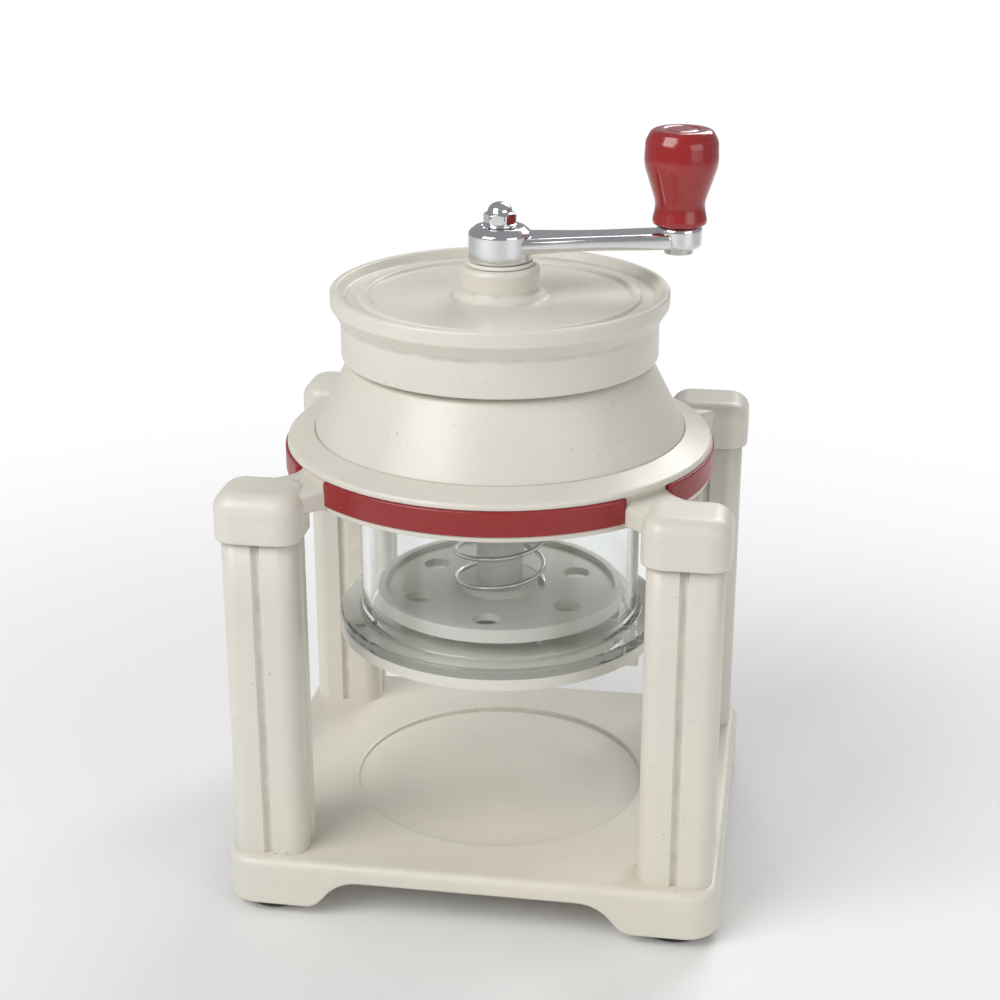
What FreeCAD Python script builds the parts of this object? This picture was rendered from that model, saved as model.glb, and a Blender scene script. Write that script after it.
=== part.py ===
import FreeCAD, Part
import os
import re
import Sketcher

# Hand-cranked ice shaver.  Millimetres, +Z up, +X right, front at -Y.
# Origin: centre of the footprint, on the surface that the rubber feet stand on.
# The spindle, drum, neck and cover share the Z axis.

VECTOR = FreeCAD.Vector

# Driving dimensions: alias, value.
SIZES = dict(
    # base tray
    base_side_reach=12.0, base_front_reach=1.0, base_corner=12.0, base_height=18.0,
    base_floor=4.0, base_edge=3.0, hollow_radius=56.0, bowl_seat_radius=54.0,
    bowl_seat_depth=1.5, foot_run_x=33.0, foot_run_y=31.0, arch_rise=11.0, arch_lean=9.0,
    arch_round=16.0,
    # rubber feet
    pad_height=4.0, pad_radius=12.0, pad_plug_length=2.5, pad_bevel=1.0,
    # posts and the tie screws through them
    post_inset_x=16.0, post_inset_y=16.0, post_width=26.0, post_depth=22.0, post_corner=6.0,
    post_wall=3.0, post_core_radius=5.6, post_top_skin=5.0, post_socket=2.0, flute_radius=1.6,
    tie_radius=2.5, tie_head_radius=4.6, tie_head_height=3.5, tie_head_depth=9.0, tie_grip=9.0,
    seat_gap=0.15, hole_gap=0.05,
    # deck ring with its lugs, and the neck moulding that stands in it
    deck_height=148.0, deck_radius=76.0, deck_lip=2.0, deck_wall=3.4, shoulder_rise=16.5,
    shoulder_share=0.545, neck_foot_rise=40.0, neck_foot_flare=2.5, neck_rise=58.0,
    neck_wall=3.5, neck_root=2.0, shell_wall=3.0, lug_margin=2.0, lug_drop=7.0, lug_rise=10.0,
    lug_round=6.0, web_inset=3.0, web_bite=2.7, ledge_wall=2.6,
    # dark band round the deck
    band_height=9.0, band_depth=1.4, band_proud=0.8, band_end_gap=0.3,
    # ice drum
    drum_inner_radius=48.0, drum_wall=3.0, drum_gap=0.3, drum_seat_rise=28.0,
    drum_socket_wall=6.0, drum_floor_height=90.0, flange_height=4.0, flange_reach=8.0,
    small_screw_radius=1.5, small_head_radius=2.8, small_head_height=1.8, small_screw_grip=5.0,
    screw_tip_gap=1.0,
    # blade plate, blade and blade holder
    plate_height=4.0, blade_angle=25.0, blade_edge_y=4.0, blade_edge_rise=0.5, blade_start=8.0,
    blade_length=36.0, blade_width=16.0, blade_thickness=1.6, blade_side_gap=0.3,
    throat_width=7.0, cut_margin=4.0, bevel_turn=205.0, holder_ear=9.0, holder_height=8.0,
    holder_back=19.0, holder_front=3.0, holder_hole_skin=0.8,
    # four-start quick thread between neck and cover
    thread_lead=40.0, thread_depth=1.6, thread_root_half=1.3, thread_crest_half=0.9,
    thread_gap=0.4, flank_step=2.4, thread_foot=4.5, neck_rib_rise=8.0, cover_rib_rise=4.4,
    thread_bite=0.8,
    # cover
    cover_skirt_wall=2.5, cover_skirt_rise=42.4, cover_top_wall=3.0, cover_dish_radius=59.5,
    cover_dish_rise=3.2, cover_lip=2.4, cover_lip_round=1.08, cover_flare=4.5,
    cover_bead_radius=48.0, cover_bead_width=2.4, cover_bead_rise=1.2,
    cover_boss_radius=14.0, cover_boss_rise=11.0, cover_boss_round=1.68,
    seal_thickness=1.8, seal_gap=0.2, seal_width=3.4,
    # spindle bush, thrust washer and retaining parts
    bush_wall=4.0, bush_flange_radius=12.5, bush_flange_height=2.6, running_gap=0.06,
    washer_radius=11.5, washer_height=1.2, face_gap=0.2, clip_height=1.2, clip_radius=8.0,
    clip_groove=0.9, clip_gap=0.5, cup_height=3.4, cup_lip=1.2, cup_floor=1.8,
    cup_hub_radius=8.0, cup_hub_height=6.0,
    # spindle
    journal_radius=5.0, hex_flat=4.5, spindle_square=7.0, hex_foot_drop=6.0,
    stud_radius=3.0, stud_height=6.0,
    # crank
    crank_radius=63.0, crank_angle=15.0, hub_radius=11.0, hub_height=12.0, arm_thickness=6.0,
    arm_lift=3.0, arm_hub_width=18.0, arm_end_radius=8.0, arm_end_height=8.0, arm_edge=1.2,
    nut_flat=5.0, nut_height=5.0, nut_flange=1.0, nut_dome_radius=4.4, nut_dome_height=3.4,
    nut_crown_radius=3.52, nut_crown_rise=2.55, nut_tip_radius=1.76, drive_gap=1.0,
    # crank knob and its pin
    pin_radius=3.0, pin_head_radius=5.0, pin_head_height=2.0, knob_gap=0.3, knob_height=33.0,
    knob_foot_radius=9.5, knob_waist_radius=8.6, knob_belly_radius=13.0, knob_waist_rise=7.0,
    knob_belly_rise=22.0, knob_top_radius=10.5, knob_well_radius=6.0, knob_well_depth=7.0,
    knob_cap_height=2.0, knob_cap_round=0.8, knob_round=3.0,
    # presser
    presser_radius=45.0, presser_height=3.0, presser_rise=8.0, presser_rib_rise=2.0,
    presser_rib_width=2.5, presser_vent_radius=5.0, presser_vent_ring=31.0, stem_radius=8.5,
    stem_reach=11.5, hex_gap=0.08, stem_foot_radius=14.0, stem_foot_height=3.0,
    spike_radius=2.4, spike_length=5.0, spike_tip=0.5, spike_ring_inner=18.0,
    spike_ring_outer=38.0, spike_root=1.5,
    # cross pin that rides in the spindle's long slot
    cross_pin_radius=1.2, cross_pin_drop=4.0, presser_travel=40.0, slot_gap=0.3,
    # presser spring
    spring_radius=16.2, spring_wire=0.9, spring_turns=9.0, spring_gap=0.15,
)

# Places worked out from the driving dimensions.
DERIVED = {
    "base_width": "2 * (deck_radius + base_side_reach)",
    "base_depth": "2 * (deck_radius + base_front_reach)",
    "base_top": "pad_height + base_height",
    "post_x": "base_width / 2 - post_inset_x",
    "post_y": "base_depth / 2 - post_inset_y",
    "post_foot": "base_top - post_socket",
    "tie_head_top": "pad_height + tie_head_depth",
    "arch_span_x": "base_width - 2 * foot_run_x",
    "arch_span_y": "base_depth - 2 * foot_run_y",
    "drum_outer_radius": "drum_inner_radius + drum_wall",
    "drum_socket_radius": "drum_outer_radius + drum_gap",
    "drum_boss_radius": "drum_socket_radius + drum_socket_wall",
    "drum_flange_radius": "drum_outer_radius + flange_reach",
    "drum_screw_ring": "drum_socket_radius + drum_socket_wall / 2",
    "neck_radius": "drum_inner_radius + neck_wall",
    "shoulder_height": "deck_height + shoulder_rise",
    "neck_foot_height": "deck_height + neck_foot_rise",
    "neck_foot_radius": "neck_radius + neck_foot_flare",
    "shoulder_radius": "neck_foot_radius + (deck_radius - neck_foot_radius) * shoulder_share",
    "neck_seam_radius": "shoulder_radius + hole_gap",
    "neck_rest_height": "deck_top - shell_wall",
    "neck_height": "deck_height + neck_rise",
    "drum_seat_height": "deck_height + drum_seat_rise",
    "cover_skirt_height": "deck_height + cover_skirt_rise",
    "web_end_radius": "deck_radius - web_bite",
    "band_foot": "deck_height + deck_lip",
    "band_top": "band_foot + band_height",
    "deck_top": "band_top + deck_lip",
    "band_seat_radius": "deck_radius - band_depth",
    "plate_foot": "drum_floor_height - plate_height",
    "blade_edge_z": "drum_floor_height + blade_edge_rise",
    "rib_crest_radius": "neck_radius + thread_depth",
    "skirt_radius": "rib_crest_radius + thread_gap",
    "skirt_outer_radius": "skirt_radius + cover_skirt_wall",
    "cover_rib_crest": "skirt_radius - thread_depth",
    "neck_rib_z": "neck_foot_height + thread_foot + neck_root",
    "cover_under": "neck_height + seal_gap + seal_thickness",
    "cover_top": "cover_under + cover_top_wall",
    "cover_seam_radius": "skirt_outer_radius + (cover_dish_radius - skirt_outer_radius)"
                         " * cover_flare / (cover_flare + cover_top_wall / 3)",
    "boss_top": "cover_top + cover_boss_rise",
    "bush_radius": "journal_radius + running_gap + bush_wall",
    "bush_foot": "cover_under",
    "bush_flange_foot": "bush_foot - bush_flange_height",
    "washer_foot": "boss_top + face_gap",
    "hub_foot": "washer_foot + washer_height + face_gap",
    "hub_top": "hub_foot + hub_height",
    "clip_top": "bush_flange_foot - clip_gap",
    "clip_foot": "clip_top - clip_height",
    "cup_foot": "clip_foot - cup_hub_height - cup_height",
    "arm_foot": "hub_foot + arm_lift",
    "arm_end_top": "arm_foot + arm_end_height",
    "knob_foot": "arm_end_top + knob_gap",
    "knob_top": "knob_foot + knob_height",
    "knob_well_foot": "knob_top - knob_cap_height - knob_well_depth",
    "presser_foot": "drum_floor_height + presser_rise",
    "presser_top": "presser_foot + presser_height",
    "hex_foot_height": "deck_height - hex_foot_drop",
    "stem_top": "hex_foot_height + stem_reach",
    "stem_length": "stem_top - presser_top",
    "cross_pin_z": "stem_top - cross_pin_drop",
    "spring_foot": "presser_top + spring_gap",
    "spring_top": "cup_foot + cup_height - cup_floor - spring_gap",
}


def bound(text):
    """Expand derived names and point every driving size at its sheet cell."""

    def cell(match):
        word = match.group()
        if word in DERIVED:
            return "(" + bound(DERIVED[word]) + ")"
        if word in SIZES:
            return "Sizes." + word
        return word

    return re.sub(r"[a-z][a-z_0-9]*", cell, text)


document = FreeCAD.newDocument("ice_shaver")
sheet = document.addObject("Spreadsheet::Sheet", "Sizes")
for row, (alias, number) in enumerate(SIZES.items(), start=1):
    sheet.set(f"A{row}", str(number))
    sheet.setAlias(f"A{row}", alias)
document.recompute()


def value(text):
    """A formula's number, in millimetres or degrees."""
    return float(sheet.evalExpression(bound(text)))


def bind(item, **formulas):
    """Bind properties; a double underscore stands for the dot of a sub-property."""
    for name, formula in formulas.items():
        item.setExpression(name.replace("__", "."), bound(formula))
    return item


# Sketches ---------------------------------------------------------------------------

def new_body(label):
    return document.addObject("PartDesign::Body", label)


def new_sketch(body, role="XZ_Plane", offset=None):
    sketch = body.newObject("Sketcher::SketchObject", body.Name + "_sketch")
    plane = next(item for item in body.Origin.OriginFeatures if item.Role == role)
    sketch.AttachmentSupport = [(plane, "")]
    sketch.MapMode = "FlatFace"
    if offset:
        bind(sketch, AttachmentOffset__Base__z=offset)
    return sketch


def fix_point(sketch, curve, point, formulas):
    """Hold a point at a bound distance from the sketch's origin, along X and along Y."""
    kinds = (("DistanceX", -2), ("DistanceY", -1))
    for formula, (kind, axis) in zip(formulas, kinds):
        number = value(formula)
        if abs(number) < 1e-9:
            sketch.addConstraint(Sketcher.Constraint("PointOnObject", curve, point, axis))
        elif number > 0:
            index = sketch.addConstraint(Sketcher.Constraint(kind, -1, 1, curve, point, number))
            sketch.setExpression(f"Constraints[{index}]", bound(formula))
        else:
            index = sketch.addConstraint(Sketcher.Constraint(kind, curve, point, -1, 1, -number))
            sketch.setExpression(f"Constraints[{index}]", bound(f"-({formula})"))


def draw_polygon(sketch, corners):
    """Straight closed outline whose corners are pairs of formulas."""
    first = sketch.GeometryCount
    spots = [VECTOR(value(x), value(y), 0) for x, y in corners]
    count = len(spots)
    for index in range(count):
        sketch.addGeometry(Part.LineSegment(spots[index], spots[(index + 1) % count]), False)
    for index in range(count):
        following = first + (index + 1) % count
        sketch.addConstraint(Sketcher.Constraint("Coincident", first + index, 2, following, 1))
    for index, corner in enumerate(corners):
        fix_point(sketch, first + index, 1, corner)
    return sketch


def draw_circle(sketch, x, y, radius):
    centre = VECTOR(value(x), value(y), 0)
    curve = sketch.GeometryCount
    sketch.addGeometry(Part.Circle(centre, VECTOR(0, 0, 1), value(radius)), False)
    index = sketch.addConstraint(Sketcher.Constraint("Radius", curve, value(radius)))
    sketch.setExpression(f"Constraints[{index}]", bound(radius))
    fix_point(sketch, curve, 3, (x, y))
    return sketch


def draw_box(sketch, x, y, width, depth):
    """Rectangle centred on (x, y)."""
    signs = ((-1, -1), (1, -1), (1, 1), (-1, 1))
    corners = [(f"{x} + {i} * ({width}) / 2", f"{y} + {j} * ({depth}) / 2") for i, j in signs]
    return draw_polygon(sketch, corners)


# Features ---------------------------------------------------------------------------

def add_feature(body, kind, sketch, **formulas):
    feature = body.newObject("PartDesign::" + kind, f"{body.Name}_{kind}")
    feature.Profile = sketch
    bind(feature, **formulas)
    sketch.Visibility = False
    return feature


def pad(body, sketch, length, both_ways=False):
    feature = add_feature(body, "Pad", sketch, Length=length)
    if both_ways:
        feature.SideType = "Symmetric"
    document.recompute()
    return feature


def pocket(body, sketch, length, both_ways=False, upward=False):
    """Cut along the sketch's normal; the volume has to fall."""
    before = body.Shape.Volume
    feature = add_feature(body, "Pocket", sketch, Length=length)
    feature.Reversed = upward
    if both_ways:
        feature.SideType = "Symmetric"
    document.recompute()
    if not body.Shape.Volume < before - 1e-6:
        raise RuntimeError("nothing was cut from " + body.Label)
    return feature


def revolve(body, profile):
    """Turn a profile of (radius, height) formulas about the Z axis."""
    sketch = draw_polygon(new_sketch(body), profile)
    feature = add_feature(body, "Revolution", sketch)
    feature.ReferenceAxis = (sketch, ["V_Axis"])
    feature.Angle = 360
    document.recompute()
    return feature


def turned(label, profile):
    body = new_body(label)
    revolve(body, profile)
    return body


def fillet(body, names, radius):
    base = body.Tip
    feature = body.newObject("PartDesign::Fillet", body.Name + "_Fillet")
    feature.Base = (base, names)
    bind(feature, Radius=radius)
    document.recompute()
    return feature


def picked_edges(shape, wanted):
    return [f"Edge{n}" for n, edge in enumerate(shape.Edges, start=1) if wanted(edge)]


def round_rings(body, rings, radius):
    """Round the circular edges that lie at given (radius, height) places."""
    places = [(value(r), value(z)) for r, z in rings]

    def wanted(edge):
        if not isinstance(edge.Curve, Part.Circle):
            return False
        ring = (edge.Curve.Radius, edge.Curve.Center.z)
        return any(abs(ring[0] - r) < 0.01 and abs(ring[1] - z) < 0.01 for r, z in places)

    return fillet(body, picked_edges(body.Tip.Shape, wanted), radius)


def is_upright(edge):
    bounds = edge.BoundBox
    return bounds.ZLength > 1e-3 and bounds.XLength < 1e-3 and bounds.YLength < 1e-3


def lies_at(height):
    def wanted(edge):
        bounds = edge.BoundBox
        return abs(bounds.ZMin - height) < 1e-3 and abs(bounds.ZMax - height) < 1e-3

    return wanted


def block(label, x, y, width, depth, corner, foot, height):
    """Upright block on the centre (x, y) with rounded upright edges."""
    body = new_body(label)
    pad(body, draw_box(new_sketch(body, "XY_Plane", foot), x, y, width, depth), height)
    fillet(body, picked_edges(body.Tip.Shape, is_upright), corner)
    return body


def round_top(body, height, radius):
    return fillet(body, picked_edges(body.Tip.Shape, lies_at(value(height))), radius)


def cylinder(label, x, y, foot, radius, height):
    item = document.addObject("Part::Cylinder", label)
    return bind(item, Radius=radius, Height=height, Placement__Base__x=x,
                Placement__Base__y=y, Placement__Base__z=foot)


def cut(label, base, tools):
    """Take the tools from the base; the volume has to fall."""
    gathered = tools[0]
    if len(tools) > 1:
        gathered = document.addObject("Part::MultiFuse", label + "_tools")
        gathered.Shapes = tools
    item = document.addObject("Part::Cut", label)
    item.Base = base
    item.Tool = gathered
    document.recompute()
    if not item.Shape.Volume < base.Shape.Volume - 1e-6:
        raise RuntimeError("nothing was cut from " + label)
    return item


def fuse(label, shapes):
    item = document.addObject("Part::MultiFuse", label)
    item.Shapes = shapes
    document.recompute()
    return item


def group(label, shapes):
    """Identical pieces that share one node as separate solids."""
    item = document.addObject("Part::Compound", label)
    item.Links = shapes
    document.recompute()
    return item


def place(item, x="0", y="0", z="0", turn="0"):
    item.Placement = FreeCAD.Placement(VECTOR(0, 0, 0), FreeCAD.Rotation(VECTOR(0, 0, 1), 0))
    return bind(item, Placement__Base__x=x, Placement__Base__y=y, Placement__Base__z=z,
                Placement__Rotation__Angle=turn)


CORNERS = {
    "front_left": (-1, -1),
    "front_right": (1, -1),
    "rear_right": (1, 1),
    "rear_left": (-1, 1),
}
NODES = {}


def keep(node, item):
    NODES[node] = item
    return item


def corner_centre(signs):
    return f"{signs[0]} * post_x", f"{signs[1]} * post_y"


# Base tray and what stands on it ----------------------------------------------------

def arch_tunnel(label, role, span):
    """Cutter for two facing arches: leaning sides that curve into a flat crown."""
    foot = f"({span}) / 2 + arch_lean / 2"
    crown = f"({span}) / 2 - arch_lean"
    low = "pad_height - arch_rise / 2"
    high = "pad_height + arch_rise"
    body = new_body(label)
    outline = [(f"-({foot})", low), (foot, low), (crown, high), (f"-({crown})", high)]
    pad(body, draw_polygon(new_sketch(body, role), outline), "base_width + base_depth",
        both_ways=True)
    at_crown = lies_at(value(high))

    def wanted(edge):
        return at_crown(edge) and edge.Length > value(span)

    fillet(body, picked_edges(body.Tip.Shape, wanted), "arch_round")
    return body


def make_base_frame():
    """Rounded tray on four feet, with an arched apron on every side."""
    body = block("base_block", "0", "0", "base_width", "base_depth", "base_corner",
                 "pad_height", "base_height")
    round_top(body, "base_top", "base_edge")
    hollow = draw_circle(new_sketch(body, "XY_Plane", "pad_height"), "0", "0", "hollow_radius")
    pocket(body, hollow, "base_height - base_floor", upward=True)
    seat = draw_circle(new_sketch(body, "XY_Plane", "base_top"), "0", "0", "bowl_seat_radius")
    pocket(body, seat, "bowl_seat_depth")
    tools = [arch_tunnel("front_arch", "XZ_Plane", "arch_span_x"),
             arch_tunnel("side_arch", "YZ_Plane", "arch_span_y")]
    for name, signs in CORNERS.items():
        x, y = corner_centre(signs)
        tools.append(block("base_socket_" + name, x, y, "post_width + 2 * seat_gap",
                           "post_depth + 2 * seat_gap", "post_corner + seat_gap",
                           "post_foot", "2 * post_socket"))
        tools.append(cylinder("base_hole_" + name, x, y, "pad_height",
                              "tie_radius + seat_gap", "base_height"))
        tools.append(cylinder("base_well_" + name, x, y, "pad_height",
                              "tie_head_radius + seat_gap", "tie_head_depth"))
    keep("base_frame", cut("base_frame", body, tools))


def make_foot_pads():
    """Rubber feet, each with a plug in the well below its tie screw."""
    profile = [
        ("0", "0"),
        ("pad_radius - pad_bevel", "0"),
        ("pad_radius", "pad_bevel"),
        ("pad_radius", "pad_height"),
        ("tie_head_radius + seat_gap - hole_gap", "pad_height"),
        ("tie_head_radius + seat_gap - hole_gap", "pad_height + pad_plug_length"),
        ("0", "pad_height + pad_plug_length"),
    ]
    for name, signs in CORNERS.items():
        x, y = corner_centre(signs)
        keep("foot_pad_" + name, place(turned("foot_pad_" + name, profile), x, y))


def make_posts():
    """Hollow fluted corner posts with a core tube for the tie screw."""
    for name, signs in CORNERS.items():
        label = "post_" + name
        body = block(label, "0", "0", "post_width", "post_depth", "post_corner",
                     "post_foot", "deck_height - post_foot")
        flutes = new_sketch(body, "XY_Plane", "deck_height")
        for x, y in (("1", "0"), ("-1", "0"), ("0", "1"), ("0", "-1")):
            draw_circle(flutes, f"{x} * post_width / 2", f"{y} * post_depth / 2",
                        "flute_radius")
        pocket(body, flutes, "deck_height - post_foot")
        room = new_sketch(body, "XY_Plane", "post_foot")
        draw_box(room, "0", "0", "post_width - 2 * post_wall", "post_depth - 2 * post_wall")
        draw_circle(room, "0", "0", "post_core_radius")
        pocket(body, room, "deck_height - post_foot - post_top_skin", upward=True)
        bore = draw_circle(new_sketch(body, "XY_Plane", "deck_height"), "0", "0",
                           "tie_radius + seat_gap")
        pocket(body, bore, "deck_height - post_foot")
        x, y = corner_centre(signs)
        keep(label, place(body, x, y))


def make_tie_screws():
    """Long screws from under the base, through the posts, into the housing's lugs."""
    profile = [
        ("0", "tie_head_top - tie_head_height"),
        ("tie_head_radius", "tie_head_top - tie_head_height"),
        ("tie_head_radius", "tie_head_top"),
        ("tie_radius", "tie_head_top"),
        ("tie_radius", "deck_height + tie_grip - tie_radius / 2"),
        ("0", "deck_height + tie_grip - tie_radius / 2"),
    ]
    screws = []
    for name, signs in CORNERS.items():
        x, y = corner_centre(signs)
        screws.append(place(turned("tie_screw_" + name, profile), x, y))
    keep("tie_screws", group("tie_screws", screws))


# Deck ring and neck -----------------------------------------------------------------

def screw_spots():
    """Turns of the three screws in each of the drum's flanges."""
    return [f"{120 * number + 90} * 1deg" for number in range(3)]


def thread_rib(label, root, crest, bite, height, rise, start):
    """One start of the quick thread: a trapezoid carried along a helix."""
    body = new_body(label)
    sketch = draw_polygon(new_sketch(body), [
        (f"{root} - {bite}", f"{height} - thread_root_half"),
        (root, f"{height} - thread_root_half"),
        (crest, f"{height} - thread_crest_half"),
        (crest, f"{height} + thread_crest_half"),
        (root, f"{height} + thread_root_half"),
        (f"{root} - {bite}", f"{height} + thread_root_half"),
    ])
    helix = add_feature(body, "AdditiveHelix", sketch)
    helix.ReferenceAxis = (sketch, ["V_Axis"])
    helix.Mode = "pitch-height-angle"
    bind(helix, Pitch="thread_lead", Height=rise)
    document.recompute()
    return place(body, turn=start)


def thread_ribs(label, root, crest, bite, height, rise):
    return [thread_rib(f"{label}_{start}", root, crest, bite, height, rise, str(90 * start))
            for start in range(4)]


def lug_web(label, signs, inset, foot, height):
    """Web from the deck's rim out to one lug, narrowing toward the spindle."""
    far_x = f"{signs[0]} * (post_x + post_width / 2 - {inset})"
    near_x = f"{signs[0]} * (post_x - post_width / 2 + {inset})"
    far_y = f"{signs[1]} * (post_y + post_depth / 2 - {inset})"
    near_y = f"{signs[1]} * (post_y - post_depth / 2 + {inset})"
    outline = [(near_x, far_y), (far_x, near_y)]
    for u, v in outline[::-1]:
        shrink = f"web_end_radius / sqrt(({u}) * ({u}) + ({v}) * ({v}))"
        outline.append((f"({u}) * {shrink}", f"({v}) * {shrink}"))
    web = new_body(label)
    pad(web, draw_polygon(new_sketch(web, "XY_Plane", foot), outline), height)
    return web


def make_deck_ring():
    """Ring with a band groove, a lip that carries the neck, and a lug over each post."""
    inside = "deck_radius - deck_wall"
    step = "neck_seam_radius + ledge_wall"
    ring = turned("deck_shell", [
        ("neck_seam_radius", "shoulder_height"),
        ("deck_radius", "deck_top"),
        ("deck_radius", "band_top"),
        ("band_seat_radius", "band_top"),
        ("band_seat_radius", "band_foot"),
        ("deck_radius", "band_foot"),
        ("deck_radius", "deck_height"),
        (inside, "deck_height"),
        (inside, "neck_rest_height"),
        (step, "neck_rest_height"),
        (step, "neck_rest_height - shell_wall"),
        ("shoulder_radius - shell_wall", "neck_rest_height - shell_wall"),
        ("shoulder_radius - shell_wall", "neck_rest_height"),
        ("neck_seam_radius", "neck_rest_height"),
    ])
    pieces = [ring]
    tools = []
    for name, signs in CORNERS.items():
        x, y = corner_centre(signs)
        lug = block("lug_" + name, x, y, "post_width + 2 * lug_margin",
                    "post_depth + 2 * lug_margin", "post_corner + lug_margin",
                    "deck_height - lug_drop", "lug_drop + lug_rise")
        round_top(lug, "deck_height + lug_rise", "lug_round")
        web = lug_web("web_" + name, signs, "web_inset", "deck_height",
                      "lug_rise - lug_round / 3")
        pieces += [lug, web]
        tools.append(block("lug_socket_" + name, x, y, "post_width + 2 * seat_gap",
                           "post_depth + 2 * seat_gap", "post_corner + seat_gap",
                           "deck_height - 2 * lug_drop", "2 * lug_drop"))
        tools.append(cylinder("lug_hole_" + name, x, y, "deck_height",
                              "tie_radius + hole_gap", "tie_grip - tie_radius / 4"))
    keep("deck_ring", cut("deck_ring", fuse("deck_whole", pieces), tools))


def make_neck():
    """Steep shoulder and threaded neck, with a boss inside that the drum is screwed to."""
    slope = "(neck_foot_height - shoulder_height) / (shoulder_radius - neck_foot_radius)"
    wall_run = f"shell_wall * sqrt(1 + 1 / (({slope}) * ({slope})))"
    foot_inside = f"shoulder_radius - {wall_run}"
    shell = turned("neck_shell", [
        ("drum_inner_radius", "neck_height"),
        ("neck_radius", "neck_height"),
        ("neck_radius", "neck_foot_height + neck_root"),
        ("neck_foot_radius", "neck_foot_height"),
        ("shoulder_radius", "shoulder_height"),
        ("shoulder_radius", "neck_rest_height + hole_gap"),
        (foot_inside, "neck_rest_height + hole_gap"),
        (foot_inside, "shoulder_height"),
        ("drum_boss_radius", f"shoulder_height + ({foot_inside} - drum_boss_radius) * ({slope})"),
        ("drum_boss_radius", "deck_height"),
        ("drum_socket_radius", "deck_height"),
        ("drum_socket_radius", "drum_seat_height"),
        ("drum_inner_radius", "drum_seat_height"),
    ])
    round_rings(shell, [("neck_radius", "neck_height"), ("drum_inner_radius", "neck_height")],
                "neck_root / 2")
    holes = []
    for number, turn in enumerate(screw_spots()):
        holes.append(cylinder(f"neck_hole_{number}", f"drum_screw_ring * cos({turn})",
                              f"drum_screw_ring * sin({turn})", "deck_height",
                              "small_screw_radius + hole_gap",
                              "small_screw_grip + screw_tip_gap"))
    ribs = thread_ribs("neck_rib", "neck_radius", "rib_crest_radius", "thread_bite",
                       "neck_rib_z", "neck_rib_rise")
    keep("neck", cut("neck", fuse("neck_whole", [shell] + ribs), holes))


def make_collar_band():
    """Dark trim strips in the deck's groove, one between each pair of lugs."""
    ring = turned("band_ring", [
        ("band_seat_radius + hole_gap", "band_foot + hole_gap"),
        ("deck_radius + band_proud", "band_foot + hole_gap"),
        ("deck_radius + band_proud", "band_top - hole_gap"),
        ("band_seat_radius + hole_gap", "band_top - hole_gap"),
    ])
    tools = []
    for name, signs in CORNERS.items():
        tools.append(lug_web("band_notch_" + name, signs, "web_inset - 2 * band_end_gap",
                             "deck_height", "band_height + 2 * deck_lip"))
        x, y = corner_centre(signs)
        tools.append(block("band_corner_" + name, x, y,
                           "post_width + 2 * lug_margin + 2 * band_end_gap",
                           "post_depth + 2 * lug_margin + 2 * band_end_gap",
                           "post_corner + lug_margin", "deck_height",
                           "band_height + 2 * deck_lip"))
    keep("collar_band", cut("collar_band", ring, tools))


# Ice drum, blade plate and blade ----------------------------------------------------

def make_ice_drum():
    """Straight clear wall with a flange under the deck and one on the blade plate."""
    flange = "drum_flange_radius"
    body = turned("drum_wall_body", [
        ("drum_inner_radius", "drum_floor_height"),
        (flange, "drum_floor_height"),
        (flange, "drum_floor_height + flange_height"),
        ("drum_outer_radius", "drum_floor_height + flange_height"),
        ("drum_outer_radius", "deck_height - flange_height"),
        (flange, "deck_height - flange_height"),
        (flange, "deck_height"),
        ("drum_outer_radius", "deck_height"),
        ("drum_outer_radius", "drum_seat_height - drum_gap"),
        ("drum_inner_radius", "drum_seat_height - drum_gap"),
    ])
    tools = []
    for number, turn in enumerate(screw_spots()):
        x = f"drum_screw_ring * cos({turn})"
        y = f"drum_screw_ring * sin({turn})"
        tools.append(cylinder(f"drum_top_hole_{number}", x, y,
                              "deck_height - 2 * flange_height",
                              "small_screw_radius + hole_gap", "2 * flange_height"))
        tools.append(cylinder(f"drum_foot_hole_{number}", x, y, "drum_floor_height",
                              "small_screw_radius + hole_gap", "flange_height"))
    keep("ice_drum", cut("ice_drum", body, tools))


def small_screw(label, turn, seat, grip):
    """Pan-head screw that points up from its seat."""
    body = turned(label, [
        ("0", f"{seat} - small_head_height"),
        ("small_head_radius", f"{seat} - small_head_height"),
        ("small_head_radius", seat),
        ("small_screw_radius", seat),
        ("small_screw_radius", f"{seat} + {grip}"),
        ("0", f"{seat} + {grip}"),
    ])
    return place(body, f"drum_screw_ring * cos({turn})", f"drum_screw_ring * sin({turn})")


def make_small_screws():
    drum = [small_screw(f"drum_screw_{n}", turn, "deck_height - flange_height",
                        "flange_height + small_screw_grip")
            for n, turn in enumerate(screw_spots())]
    floor = [small_screw(f"floor_screw_{n}", turn, "plate_foot",
                         "plate_height + flange_height - screw_tip_gap")
             for n, turn in enumerate(screw_spots())]
    keep("drum_screws", group("drum_screws", drum))
    keep("floor_screws", group("floor_screws", floor))


def tilted_slab(label, start, length, along_from, along_to, up_from, up_to):
    """Slab in the blade's own axes: X, down the blade from its edge, and off its top face."""
    item = document.addObject("Part::Box", label)
    item.Placement = FreeCAD.Placement(VECTOR(0, 0, 0), FreeCAD.Rotation(VECTOR(1, 0, 0), 1))
    lean = "blade_angle * 1deg"
    along = f"({along_to})"
    up = f"({up_from})"
    return bind(
        item, Length=length, Width=f"({along_to}) - ({along_from})",
        Height=f"({up_to}) - ({up_from})", Placement__Rotation__Angle="blade_angle",
        Placement__Base__x=start,
        Placement__Base__y=f"blade_edge_y - {along} * cos({lean}) - {up} * sin({lean})",
        Placement__Base__z=f"blade_edge_z - {along} * sin({lean}) + {up} * cos({lean})")


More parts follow.
